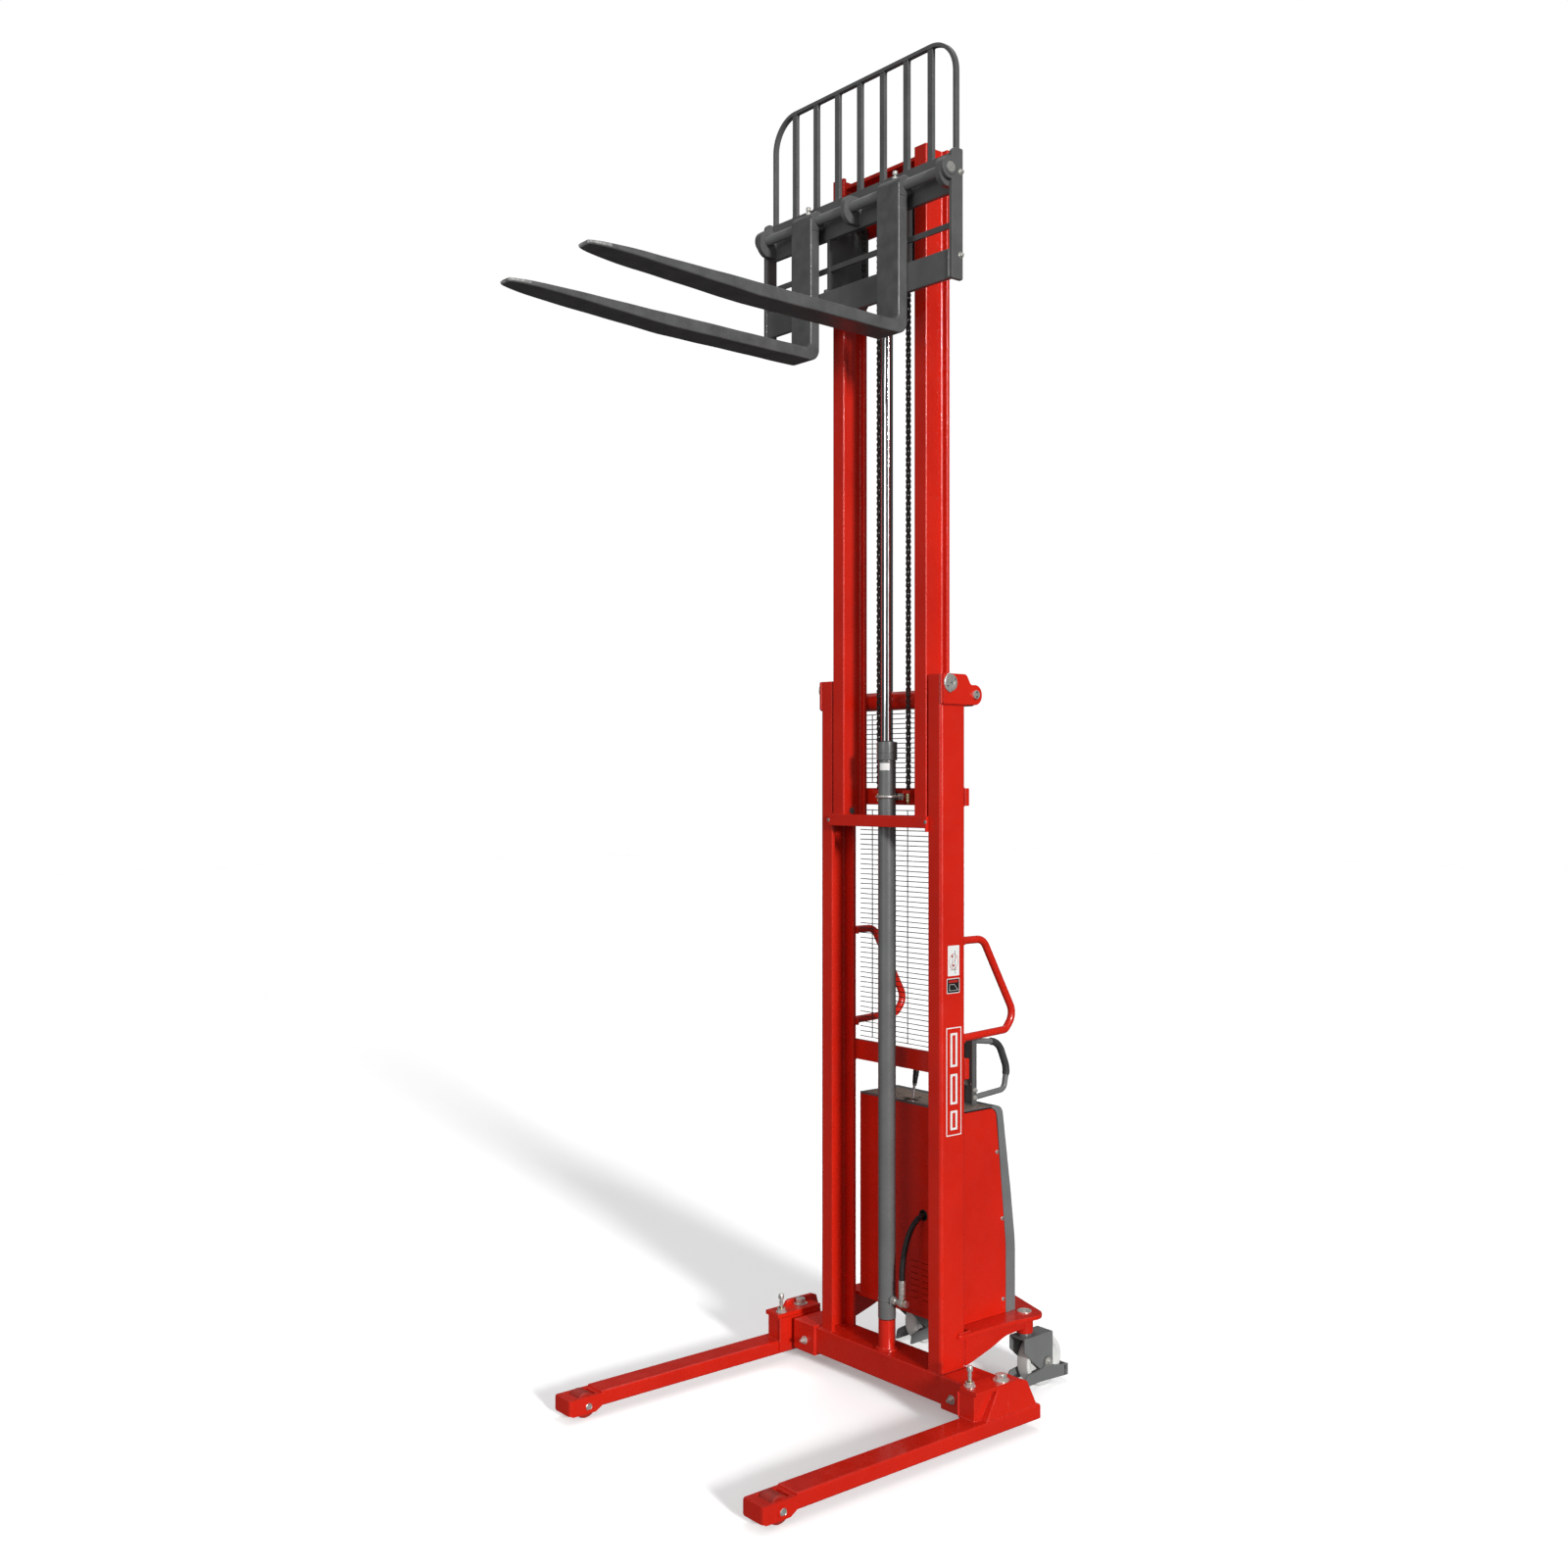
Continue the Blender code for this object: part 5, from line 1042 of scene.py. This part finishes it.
def forging(piece, sections):
    """The shank and blade, lofted through their sections and a little uneven, as forged."""
    rings = []
    work = bmesh.new()
    for (fy, fz), (ry, rz), wide in sections:
        front, rear = Vector((0, fy, fz)), Vector((0, ry, rz))
        depth = (rear - front).length
        corner = min(0.0045, depth * 0.4)
        ring = []
        outline = rectangle(-wide, 0, wide, depth, corner, 4)
        for a, b in outline:
            point = front.lerp(rear, b / depth)
            point.x = FORK_X + a
            point.z += 0.0005 * math.sin(point.y * 31 + a * 40) * math.sin(point.y * 13 + 1.3) + rise(point.y)
            ring.append(work.verts.new(point))
        rings.append(ring)
    for one, two in zip(rings, rings[1:]):
        for i in range(len(one)):
            work.faces.new((one[i - 1], one[i], two[i], two[i - 1]))
    work.faces.new(rings[0])
    work.faces.new(rings[-1])
    piece.merge(work, FORK_GREY)


def fork(word, side):
    piece = Piece(f"fork_{word}_forged", side)
    half = FORK_WIDTH / 2
    sections = fork_sections(half)
    forging(piece, sections)
    # The bared edge round the tip
    tip = [(front[0], (front[1] + rear[1]) / 2 + rise(front[0]), wide)
           for front, rear, wide in sections if front[0] < FORK_TIP + 0.062]
    edge = [(FORK_X - wide + 0.0035, y, z) for y, z, wide in tip[:-1]]
    edge += [(FORK_X + turn * 0.014, FORK_TIP + 0.0035, tip[-1][1]) for turn in (-1, 1)]
    edge += [(FORK_X + wide - 0.0035, y, z) for y, z, wide in tip[-2::-1]]
    piece.tube(edge, 0.005, WORN, 12)
    hub = half + 0.0012
    profile = mirrored([(SHAFT_R + 0.0005, hub), (0.0255, hub), (0.0268, hub - 0.0015)])
    piece.turned(profile, "X", (FORK_X, SHAFT_Y, SHAFT_Z), FORK_GREY, 56)
    piece.box((FORK_X - half + 0.002, FORK_FRONT + 0.0012, SHAFT_Z - 0.012),
              (FORK_X + half - 0.002, SHAFT_Y - 0.016, SHAFT_Z + 0.004), FORK_GREY, 0.0012)
    for x in (FORK_X - half + 0.0005, FORK_X + half - 0.0005):
        piece.weld((x, FORK_FRONT + 0.006, SHAFT_Z - 0.03),
                   (x, FORK_FRONT + FORK_THICK - 0.004, SHAFT_Z - 0.03), 0.0026, FORK_GREY)
    piece.done(f"fork_arm_{word}", "grey_paint", f"fork_{word}")


def fork_lock_screw(word, side):
    screw = Piece(f"fork_lock_screw_{word}_threaded", side)
    thread = [(0.004 if i % 2 else 0.0034, SHAFT_Z + 0.0215 + 0.0008 * i) for i in range(34)]
    screw.turned([(0, thread[0][1]), *thread, (0, thread[-1][1])], "Z", (FORK_X, SHAFT_Y, 0), ZINC, 24)
    screw.bar((FORK_X, SHAFT_Y, SHAFT_Z + 0.0274), (FORK_X, SHAFT_Y, SHAFT_Z + 0.034), 0.009, ZINC, 6,
              0.0008)
    screw.bar((FORK_X, SHAFT_Y, SHAFT_Z + 0.04), (FORK_X, SHAFT_Y, SHAFT_Z + 0.05), 0.0076, ZINC, 6, 0.0008)
    screw.done(f"fork_arm_{word}", "zinc_plate", f"fork_lock_screw_{word}")


# The straddle legs and their load wheels

LEG_IN, LEG_OUT, LEG_FRONT, LEG_BACK, LEG_BOTTOM, LEG_TOP = 0.387, 0.465, -0.81, 0.177, 0.027, 0.068
LOAD_WHEEL_X, LOAD_WHEEL_Y, LOAD_WHEEL_R = 0.426, -0.747, 0.0355
STRAP_TOP = 0.149
LOCK_PIN_X, LOCK_PIN_Y = 0.4, -0.036


def leg_tip(piece):
    """The tip: two cheeks round the wheel, with a bridge before and behind it."""
    cheek = rounded([(LEG_FRONT + 0.0008, 0.0225, 0.002), (LEG_FRONT + 0.0008, 0.062, 0.005),
                     (-0.692, 0.062, 0.006),
                     (-0.692, 0.034, 0.004), (-0.722, 0.016, 0.006), (-0.798, 0.016, 0.006)], 6)
    for low, high in ((LEG_IN + 0.0014, LEG_IN + 0.0128), (LEG_OUT - 0.0128, LEG_OUT - 0.0014)):
        piece.slab(cheek, "YZ", low, high, RED, 0.0018, [circle(LOAD_WHEEL_Y, LOAD_WHEEL_R, 0.0083, 28)])
    x0, x1 = LEG_IN + 0.0008, LEG_OUT - 0.0008
    ring = rounded([(x0, LEG_FRONT, 0.007), (x1, LEG_FRONT, 0.007), (x1, -0.6925, 0.001),
                    (x0, -0.6925, 0.001)], 6)
    for low, high, gap in ((0.056, 0.063, 0.031), (0.034, 0.0561, 0.0385)):
        piece.slab(ring, "XY", low, high, RED, 0.0018 if gap < 0.035 else 0.0003,
                   [rectangle(LEG_IN + 0.013, LOAD_WHEEL_Y - gap, LEG_OUT - 0.013, LOAD_WHEEL_Y + gap)])
    front = LOAD_WHEEL_Y - 0.0385
    nose = rounded([(x0, LEG_FRONT, 0.007), (x1, LEG_FRONT, 0.007), (x1, front, 0), (x0, front, 0)], 6)
    piece.slab(nose, "XY", 0.0205, 0.0341, RED, 0.0003)
    piece.weld((LEG_IN + 0.004, -0.6995, 0.0645), (LEG_OUT - 0.004, -0.6995, 0.0645), 0.003)
    piece.turned([(0.0086, LEG_OUT - 0.0002), (0.0155, LEG_OUT - 0.0002), (0.0155, LEG_OUT + 0.0004),
                  (0.0086, LEG_OUT + 0.0004)], "X", (0, LOAD_WHEEL_Y, LOAD_WHEEL_R), RED, 40)


def leg_wedge(piece, top):
    """The wedge on the outer edge, which leans in towards its top."""
    foot, crown = LEG_OUT - 0.0035, LEG_OUT - 0.0155
    outer = [Vector((foot, -0.036, LEG_TOP - 0.003)), Vector((foot, 0.168, LEG_TOP - 0.003)),
             Vector((crown, 0.14, top - 0.006)), Vector((crown, 0.124, top)), Vector((crown, 0.03, top)),
             Vector((crown, 0.02, top - 0.004))]
    piece.hull(outer + [Vector((LEG_OUT - 0.0285, point.y, point.z)) for point in outer], RED, 0.0022)
    piece.weld((LEG_OUT - 0.004, -0.03, LEG_TOP + 0.0004), (LEG_OUT - 0.004, 0.164, LEG_TOP + 0.0004), 0.002)
    piece.hull([Vector((foot + 0.001, 0.052, LEG_TOP)), Vector((foot + 0.001, 0.084, LEG_TOP)),
                Vector((crown + 0.0045, 0.056, 0.115)), Vector((crown + 0.0045, 0.068, 0.115)),
                Vector((crown - 0.002, 0.056, 0.128)), Vector((crown - 0.002, 0.066, 0.128)),
                Vector((crown - 0.002, 0.06, LEG_TOP))], RED, 0.0022)


def leg_strap(piece):
    """The web on the leg and the strap over the beam's end, with the lock pin's hole and the clamp bolt."""
    hole = circle(LOCK_PIN_X, LOCK_PIN_Y, 0.0073, 24)
    strap = rectangle(0.384, -0.06, LEG_OUT - 0.017, 0.112, 0.003, 5)
    piece.slab(strap, "XY", 0.1372, STRAP_TOP, RED, 0.0014, [hole])
    web = rectangle(LEG_IN - 0.008, -0.058, LEG_IN + 0.05, 0.108, 0.002, 3)
    piece.slab(web, "XY", LEG_TOP - 0.03, 0.1368, RED, 0.001, [hole])
    piece.weld((LEG_IN - 0.0085, -0.0585, 0.07), (LEG_IN - 0.0085, -0.0585, 0.134), 0.0026)
    piece.weld((LEG_IN - 0.006, -0.059, LEG_TOP + 0.0008), (LEG_IN + 0.048, -0.059, LEG_TOP + 0.0008), 0.003)
    piece.weld((LEG_IN + 0.0505, -0.056, LEG_TOP + 0.0008), (LEG_IN + 0.0505, 0.03, LEG_TOP + 0.0008),
               0.0028)
    piece.bolt((0.424, 0.062, STRAP_TOP), (0, 0, 1), 0.0165)
    piece.bar((0.424, 0.062, 0.1655), (0.424, 0.062, 0.1668), 0.0085, STEEL, 28, 0.0004)


def cross_tube(piece):
    """The cross tube that slides in the beam."""
    wall, (x0, x1) = 0.005, (0.12, LEG_IN + 0.01)
    for low, high in (((x0, 0.0055, 0.0615), (x1, 0.0905, 0.0615 + wall)),
                      ((x0, 0.0055, 0.1185 - wall), (x1, 0.0905, 0.1185)),
                      ((x0, 0.0055, 0.062), (x1, 0.0055 + wall, 0.118)),
                      ((x0, 0.0905 - wall, 0.062), (x1, 0.0905, 0.118))):
        piece.box(low, high, RED, 0.0012)


def leg(word, side):
    piece = Piece(f"straddle_leg_{word}_welded", side)
    tube = rectangle(LEG_IN, LEG_BOTTOM, LEG_OUT, LEG_TOP, 0.006)
    piece.slab(tube, "XZ", -0.7, LEG_BACK, RED, 0.0012)
    leg_tip(piece)
    # The right leg's wedge stands higher than the left one's
    leg_wedge(piece, 0.143 if side > 0 else 0.165)
    cross_tube(piece)
    leg_strap(piece)
    piece.done(f"leg_{word}", "red_paint", f"straddle_leg_{word}")


def load_wheel(word, side):
    wheel = Piece(f"load_wheel_{word}_roller", side)
    half, r = 0.0254, LOAD_WHEEL_R
    centre = (LOAD_WHEEL_X, LOAD_WHEEL_Y, LOAD_WHEEL_R)
    tyre = [(0.015, half), (r - 0.004, half), (r - 0.0012, half - 0.001), (r, half - 0.003)]
    wheel.turned(mirrored(tyre), "X", centre, PU_RED, 64)
    wheel.turned(mirrored([(0.0084, half), (0.0152, half)]), "X", centre, STEEL, 48)
    wheel.done(f"load_roll_{word}", "red_polyurethane", f"load_wheel_{word}")
    axle = Piece(f"load_wheel_axle_{word}_pin", side)
    axle.bar((0.385, LOAD_WHEEL_Y, LOAD_WHEEL_R), (0.467, LOAD_WHEEL_Y, LOAD_WHEEL_R), 0.008, ZINC, 40,
             0.0012)
    for x in (0.3855, 0.4662):
        ring = [(x, *point) for point in arc(LOAD_WHEEL_Y, LOAD_WHEEL_R, 0.0092, -60, 240, 30)]
        axle.tube(ring, 0.0009, ZINC, 8)
    axle.done(f"leg_{word}", "bare_steel", f"load_wheel_axle_{word}")


def leg_lock_pin(word, side):
    x, y, z = LOCK_PIN_X, LOCK_PIN_Y, STRAP_TOP + 0.0003
    pin = Piece(f"leg_lock_pin_{word}_plunger", side)
    pin.turned([(0, 0.1358), (0.005, 0.1358), (0.0066, 0.138), (0.0066, z + 0.015), (0.0052, z + 0.0165),
                (0.0052, z + 0.027), (0.006, z + 0.0285), (0.006, z + 0.033), (0.0045, z + 0.0345),
                (0.0045, z + 0.04), (0.0078, z + 0.041), (0.0086, z + 0.0425), (0.0086, z + 0.05),
                (0.0076, z + 0.0545), (0.005, z + 0.056), (0, z + 0.0562)], "Z", (x, y, 0), ZINC, 36)
    pin.turned([(0.007, z + 0.0002), (0.0165, z + 0.0002), (0.0165, z + 0.002), (0.007, z + 0.002)], "Z",
               (x, y, 0), ZINC, 36)
    pin.bar((x, y, z + 0.002), (x, y, z + 0.012), 0.0135, ZINC, 6, 0.0012)
    pin.bar((x, y, z + 0.0115), (x, y, z + 0.0165), 0.008, BRASS, 28, 0.0008)
    pin.done(f"leg_pin_{word}", "zinc_plate", f"leg_lock_pin_{word}")


# The casters and their brakes

CASTER_X, CASTER_Y, CASTER_TRAIL, CASTER_WHEEL_R = 0.237, 0.366, 0.064, 0.075


def caster(word, side):
    x, axle_y, axle_z = CASTER_X, CASTER_Y + CASTER_TRAIL, CASTER_WHEEL_R
    yoke = Piece(f"caster_fork_{word}_pressed", side)
    yoke.box((x - 0.03, 0.3334, 0.153), (x + 0.03, 0.4576, 0.1583), PALE_GREY, 0.0018, 3)
    cheek = rounded([(0.3334, 0.158, 0.006), (0.3334, 0.118, 0.004), (axle_y - 0.02, 0.05, 0.01),
                     (axle_y - 0.008, 0.0405, 0.008), (0.4576, 0.0405, 0.012), (0.4576, 0.158, 0.006)], 8)
    for low, high in ((x + 0.0255, x + 0.0301), (x - 0.0301, x - 0.0255)):
        yoke.slab(cheek, "YZ", low, high, PALE_GREY, 0.0012)
    yoke.turned([(0.0205, 0.1575), (0.0215, 0.159), (0.0215, 0.164), (0.02, 0.1664), (0.01, 0.1664)], "Z",
                (x, CASTER_Y, 0), GREY, 44)
    yoke.bar((x, CASTER_Y, 0.16), (x, CASTER_Y, 0.214), 0.01, STEEL, 32)
    yoke.bolt((x, CASTER_Y, 0.153), (0, 0, -1), 0.007, length=0.002)
    yoke.bar((x - 0.047, axle_y, axle_z), (x + 0.047, axle_y, axle_z), 0.0058, STEEL, 28, 0.0008)
    for out in (1, -1):
        yoke.bolt((x + out * 0.0356, axle_y, axle_z), (out, 0, 0), 0.01)
    yoke.done(f"swivel_{word}", "grey_paint", f"caster_fork_{word}")

    wheel = Piece(f"caster_wheel_{word}_nylon", side)
    r, half = CASTER_WHEEL_R, 0.0215
    half_profile = [(0.0066, 0.0243), (0.0165, 0.0243), (0.018, 0.0232), (0.0195, 0.015), (0.024, 0.0125),
                    (0.05, 0.0125), (0.056, 0.015), (0.06, 0.0205), (0.063, half), (r - 0.005, half),
                    (r - 0.0016, half - 0.0018), (r, half - 0.006)]
    wheel.turned(mirrored(half_profile), "X", (x, axle_y, axle_z), NYLON, 88)
    wheel.turned([(0.0062, 0.024), (0.011, 0.024), (0.011, 0.0247), (0.0062, 0.0247)], "X",
                 (x, axle_y, axle_z), STEEL, 36)
    wheel.done(f"rear_wheel_{word}", "white_nylon", f"caster_wheel_{word}")

    pedal = Piece(f"brake_pedal_{word}_band", side)
    arm = rounded([(axle_y - 0.102, 0.02, 0.004), (axle_y - 0.03, 0.022, 0.05),
                   (axle_y + 0.09, 0.016, 0.002),
                   (axle_y + 0.09, 0.05, 0.002), (axle_y + 0.022, 0.056, 0.012),
                   (axle_y + 0.013, 0.088, 0.0125),
                   (axle_y - 0.013, 0.088, 0.0125), (axle_y - 0.016, 0.06, 0.012),
                   (axle_y - 0.094, 0.05, 0.008)], 6)
    hole = circle(axle_y, axle_z, 0.0064, 28)
    for low, high in ((x + 0.031, x + 0.035), (x - 0.035, x - 0.031)):
        pedal.slab(arm, "YZ", low, high, PALE_GREY, 0.001, [hole])
    rear = axle_y + 0.086
    band = rounded([(x - 0.035, rear - 0.012, 0), (x - 0.035, rear + 0.004, 0.007),
                    (x + 0.035, rear + 0.004, 0.007),
                    (x + 0.035, rear - 0.012, 0), (x + 0.0312, rear - 0.012, 0), (x + 0.0312, rear, 0.004),
                    (x - 0.0312, rear, 0.004), (x - 0.0312, rear - 0.012, 0)], 6)
    pedal.slab(band, "XY", 0.0175, 0.049, PALE_GREY, 0.001)
    pedal.done(f"brake_{word}", "grey_paint", f"brake_pedal_{word}")


# What the housing holds

def power_unit():
    battery = Piece("battery_case")
    battery.box((-0.19, 0.135, 0.2285), (-0.015, 0.3, 0.405), PLASTIC, 0.004, 3)
    battery.box((-0.188, 0.137, 0.403), (-0.017, 0.298, 0.44), PLASTIC, 0.003, 3)
    for i in range(6):
        x = -0.18 + 0.0275 * i
        battery.bar((x + 0.006, 0.2175, 0.4395), (x + 0.006, 0.2175, 0.443), 0.0085, PLASTIC, 28, 0.0008)
        battery.box((x, 0.1338, 0.25), (x + 0.004, 0.136, 0.39), PLASTIC, 0.0008)
    for x in (-0.165, -0.04):
        battery.bar((x, 0.16, 0.4395), (x, 0.16, 0.455), 0.008, STEEL, 28, 0.0006, end_radius=0.0072)
    battery.done("chassis", "black_plastic", "battery")
    tank = Piece("oil_tank_welded")
    tank.box((0.02, 0.15, 0.2285), (0.18, 0.3, 0.47), BLACK, 0.006, 3)
    tank.bar((0.16, 0.17, 0.469), (0.16, 0.17, 0.47), 0.012, STEEL, 32, 0.0002)
    for z in (0.23, 0.466):
        tank.weld((0.024, 0.1502, z + 0.0015), (0.176, 0.1502, z + 0.0015), 0.0014, BLACK)
    tank.done("chassis", "black_steel", "oil_tank")
    block = Piece("valve_block_machined")
    block.box((0.038, 0.175, 0.4703), (0.15, 0.275, 0.545), STEEL, 0.002)
    block.turned([(0.009, 0.166), (0.011, 0.167), (0.011, 0.178), (0.009, 0.178)], "Y", (0.064, 0, 0.5164),
                 STEEL, 32)
    for x, z in ((0.09, 0.49), (0.13, 0.49), (0.11, 0.525)):
        block.bolt((x, 0.175, z), (0, -1, 0), 0.007)
    block.done("chassis", "bare_steel", "valve_block")
    motor = Piece("pump_motor_can")
    motor.turned([(0, 0.5455), (0.052, 0.5455), (0.055, 0.548), (0.055, 0.692), (0.0535, 0.6985),
                  (0.048, 0.7),
                  (0.048, 0.712), (0.046, 0.715), (0, 0.715)], "Z", (0.096, 0.225, 0), BLACK, 64)
    for z in (0.562, 0.684):
        motor.turned([(0.0548, z - 0.003), (0.0555, z - 0.002), (0.0555, z + 0.002), (0.0548, z + 0.003)],
                     "Z", (0.096, 0.225, 0), BLACK, 64)
    for x in (0.076, 0.116):
        motor.bar((x, 0.225, 0.714), (x, 0.225, 0.715), 0.006, ZINC, 24, 0.0002)
    motor.done("chassis", "black_steel", "pump_motor")


# Labels, all of generic shapes

def label(piece, low, high, material, layer=0):
    """A rectangle of film on the left column's outer face, between two (y, z) corners."""
    face = COLUMN_OUT + 0.00015 * layer
    outline = rectangle(*low, *high, 0.0015, 3)
    piece.slab(outline, "YZ", face - 0.0006, face + 0.0002, material, 0)


def labels():
    notice = Piece("pictogram_label")
    label(notice, (0.026, 1.241), (0.072, 1.326), WHITE)
    face = COLUMN_OUT + 0.0002
    centre = (0.049, 1.281)
    ring = [(face, centre[0] + 0.017 * math.cos(math.tau * i / 48),
             centre[1] + 0.0215 * math.sin(math.tau * i / 48))
            for i in range(49)]
    notice.tube(ring, 0.0006, PRINT_RED, 6)
    for y, low, high in ((0.044, 1.262, 1.301), (0.0545, 1.247, 1.312)):
        notice.tube([(face, y, z) for z in (low, (low + high) / 2, high)], 0.0006, BLACK_PRINT_AND_HOLE_SHADE, 6)
    for y, z in ((0.044, 1.296), (0.048, 1.27)):
        spot = Vector((face - 0.0003, y, z))
        notice.bar(spot, spot + Vector((0.0004, 0, 0)), 0.0036, PRINT_RED, 20, 0)
    notice.tube([(face, 0.034, 1.266), (face, 0.049, 1.281), (face, 0.063, 1.297)], 0.0006, PRINT_RED, 6)
    notice.tube([(face, 0.037, 1.258), (face, 0.049, 1.258), (face, 0.061, 1.258)], 0.0006, BLACK_PRINT_AND_HOLE_SHADE, 6)
    notice.done("chassis", "red_paint")
    chart = Piece("load_chart_label")
    label(chart, (0.022, 1.192), (0.073, 1.234), WHITE)
    label(chart, (0.024, 1.194), (0.071, 1.232), BLACK_PRINT_AND_HOLE_SHADE, 1)
    label(chart, (0.029, 1.222), (0.066, 1.229), PRINT_RED, 2)
    curve = [(0.032, 1.217), (0.052, 1.2165), (0.066, 1.2), (0.032, 1.2)]
    for one, two in zip(curve, curve[1:] + curve[:1]):
        chart.tube([(face + 0.0003, *one), (face + 0.0003, (one[0] + two[0]) / 2, (one[1] + two[1]) / 2),
                    (face + 0.0003, *two)], 0.0005, WHITE, 6)
    chart.done("chassis", "red_paint")
    # A long plate with a white frame and three plain bars
    plate = Piece("framed_column_label")
    low, high = (0.02, 0.792), (0.08, 1.096)
    label(plate, low, high, WHITE)
    label(plate, (low[0] + 0.003, low[1] + 0.003), (high[0] - 0.003, high[1] - 0.003), RED, 1)
    for i, (start, end) in enumerate(((0.985, 1.08), (0.88, 0.965), (0.808, 0.862))):
        label(plate, (0.036, start), (0.064, end), WHITE, 2)
        label(plate, (0.044, start + 0.006), (0.056, end - 0.006), RED, 3)
    plate.done("chassis", "red_paint")


# The studio

def studio_camera():
    scene = bpy.context.scene
    camera = bpy.data.cameras.new("camera")
    camera.lens, camera.sensor_width, camera.clip_end = 37.06, 36, 100
    eye = bpy.data.objects.new("camera", camera)
    eye.location = (3.439, -2.913, 1.78)
    eye.rotation_euler = (math.radians(90), 0, math.radians(50.25))
    scene.collection.objects.link(eye)
    scene.camera = eye
    scene.view_settings.view_transform = "Standard"
    scene.view_settings.look = "None"


def studio_floor():
    """White paper. It returns a collection with nothing but the floor, for the lamp that lights only that."""
    bpy.ops.mesh.primitive_plane_add(size=60, location=(0, 0, 0))
    floor = bpy.context.object
    floor.name = "studio_floor"
    paper = bpy.data.materials.new("white paper floor")
    paper.use_nodes = True
    shader = paper.node_tree.nodes["Principled BSDF"]
    shader.inputs["Base Color"].default_value = (0.9, 0.9, 0.9, 1)
    shader.inputs["Roughness"].default_value = 0.9
    shader.inputs["Specular IOR Level"].default_value = 0.1
    shader.inputs["Emission Color"].default_value = (1, 1, 1, 1)
    shader.inputs["Emission Strength"].default_value = 0.25
    floor.data.materials.append(paper)
    floor.visible_diffuse = False
    floor.visible_glossy = False
    only_floor = bpy.data.collections.new("only_floor")
    only_floor.objects.link(floor)
    return only_floor


def facing(tree, coords, direction, low, high, strength):
    """A soft panel: strength where a ray runs along direction, nothing outside it."""
    dot = node(tree, "ShaderNodeVectorMath", operation="DOT_PRODUCT")
    dot.inputs[1].default_value = Vector(direction).normalized()
    tree.links.new(coords.outputs["Generated"], dot.inputs[0])
    return span(tree, dot.outputs["Value"], low, high, 0, strength)


def total(tree, values, base):
    """The sum of values and base."""
    result = None
    for value in values:
        add = node(tree, "ShaderNodeMath", operation="ADD")
        add.inputs[0].default_value = base
        if result:
            tree.links.new(result, add.inputs[0])
        tree.links.new(value, add.inputs[1])
        result = add.outputs["Value"]
    return result


def studio_world():
    """Plain white to the camera, a soft room to matt surfaces, and dark with bright panels to gloss."""
    world = bpy.data.worlds.new("studio")
    bpy.context.scene.world = world
    world.use_nodes = True
    tree = world.node_tree
    tree.nodes.clear()
    coords = node(tree, "ShaderNodeTexCoord")

    def panels(*settings):
        return [facing(tree, coords, *setting) for setting in settings]

    room = total(tree, panels(((0, 0, 1), -0.3, 0.6, 0.16), ((0.45, -1, 0.1), 0.2, 1.0, 0.3)), 0.2)
    gloss = total(tree, panels(((1, -0.16, 0.12), 0.955, 0.985, 1.9), ((0.02, -1, 0.05), 0.975, 0.99, 1.3),
                               ((-0.3, 0.2, 1), 0.8, 0.92, 1.1), ((-1, 0.25, 0.1), 0.93, 0.98, 0.35)), 0.07)
    path = node(tree, "ShaderNodeLightPath")
    white = node(tree, "ShaderNodeBackground", Strength=1.0)
    white.inputs["Color"].default_value = (1, 1, 1, 1)
    soft = node(tree, "ShaderNodeBackground")
    tree.links.new(room, soft.inputs["Strength"])
    shiny = node(tree, "ShaderNodeBackground")
    tree.links.new(gloss, shiny.inputs["Strength"])
    shader = soft.outputs["Background"]
    for ray, other in (("Is Glossy Ray", shiny), ("Is Camera Ray", white)):
        chooser = node(tree, "ShaderNodeMixShader")
        tree.links.new(path.outputs[ray], chooser.inputs["Fac"])
        tree.links.new(shader, chooser.inputs[1])
        tree.links.new(other.outputs["Background"], chooser.inputs[2])
        shader = chooser.outputs["Shader"]
    out = node(tree, "ShaderNodeOutputWorld")
    tree.links.new(shader, out.inputs["Surface"])


def lamp(name, kind, towards, energy, size=None, at=None):
    light = bpy.data.lights.new(name, kind)
    light.energy = energy
    if kind == "SUN":
        light.angle = math.radians(size)
    else:
        light.shape, light.size = "DISK", size
    holder = bpy.data.objects.new(name, light)
    holder.rotation_euler = Vector(towards).to_track_quat("-Z", "Y").to_euler()
    if at:
        holder.location = at
    bpy.context.scene.collection.objects.link(holder)
    return holder


def studio_lamps(only_floor):
    key = (-13.7, 3.1, -3.9)
    lamp("low_key", "SUN", key, 2.5, 7)
    lamp("overhead", "SUN", (0.35, -0.45, -1.6), 0.6, 24)
    lamp("front_fill", "AREA", (-0.45, 3.7, -0.5), 30, 2.2, (1.0, -4.2, 3.3))
    floor_key = lamp("floor_key", "SUN", key, 2.7, 9)
    floor_key.light_linking.receiver_collection = only_floor


crossbeam()
outer_mast()
base_plate()
housing()
rear_cover()
control_lever()
handles()
guards()
cylinder()
cylinder_clamp()
hose()
chains()
inner_mast()
rollers()
carriage()
backrest()
for word, side in SIDES:
    fork(word, side)
    fork_lock_screw(word, side)
    leg(word, side)
    load_wheel(word, side)
    leg_lock_pin(word, side)
    caster(word, side)
power_unit()
labels()
studio_camera()
floor_only = studio_floor()
studio_world()
studio_lamps(floor_only)
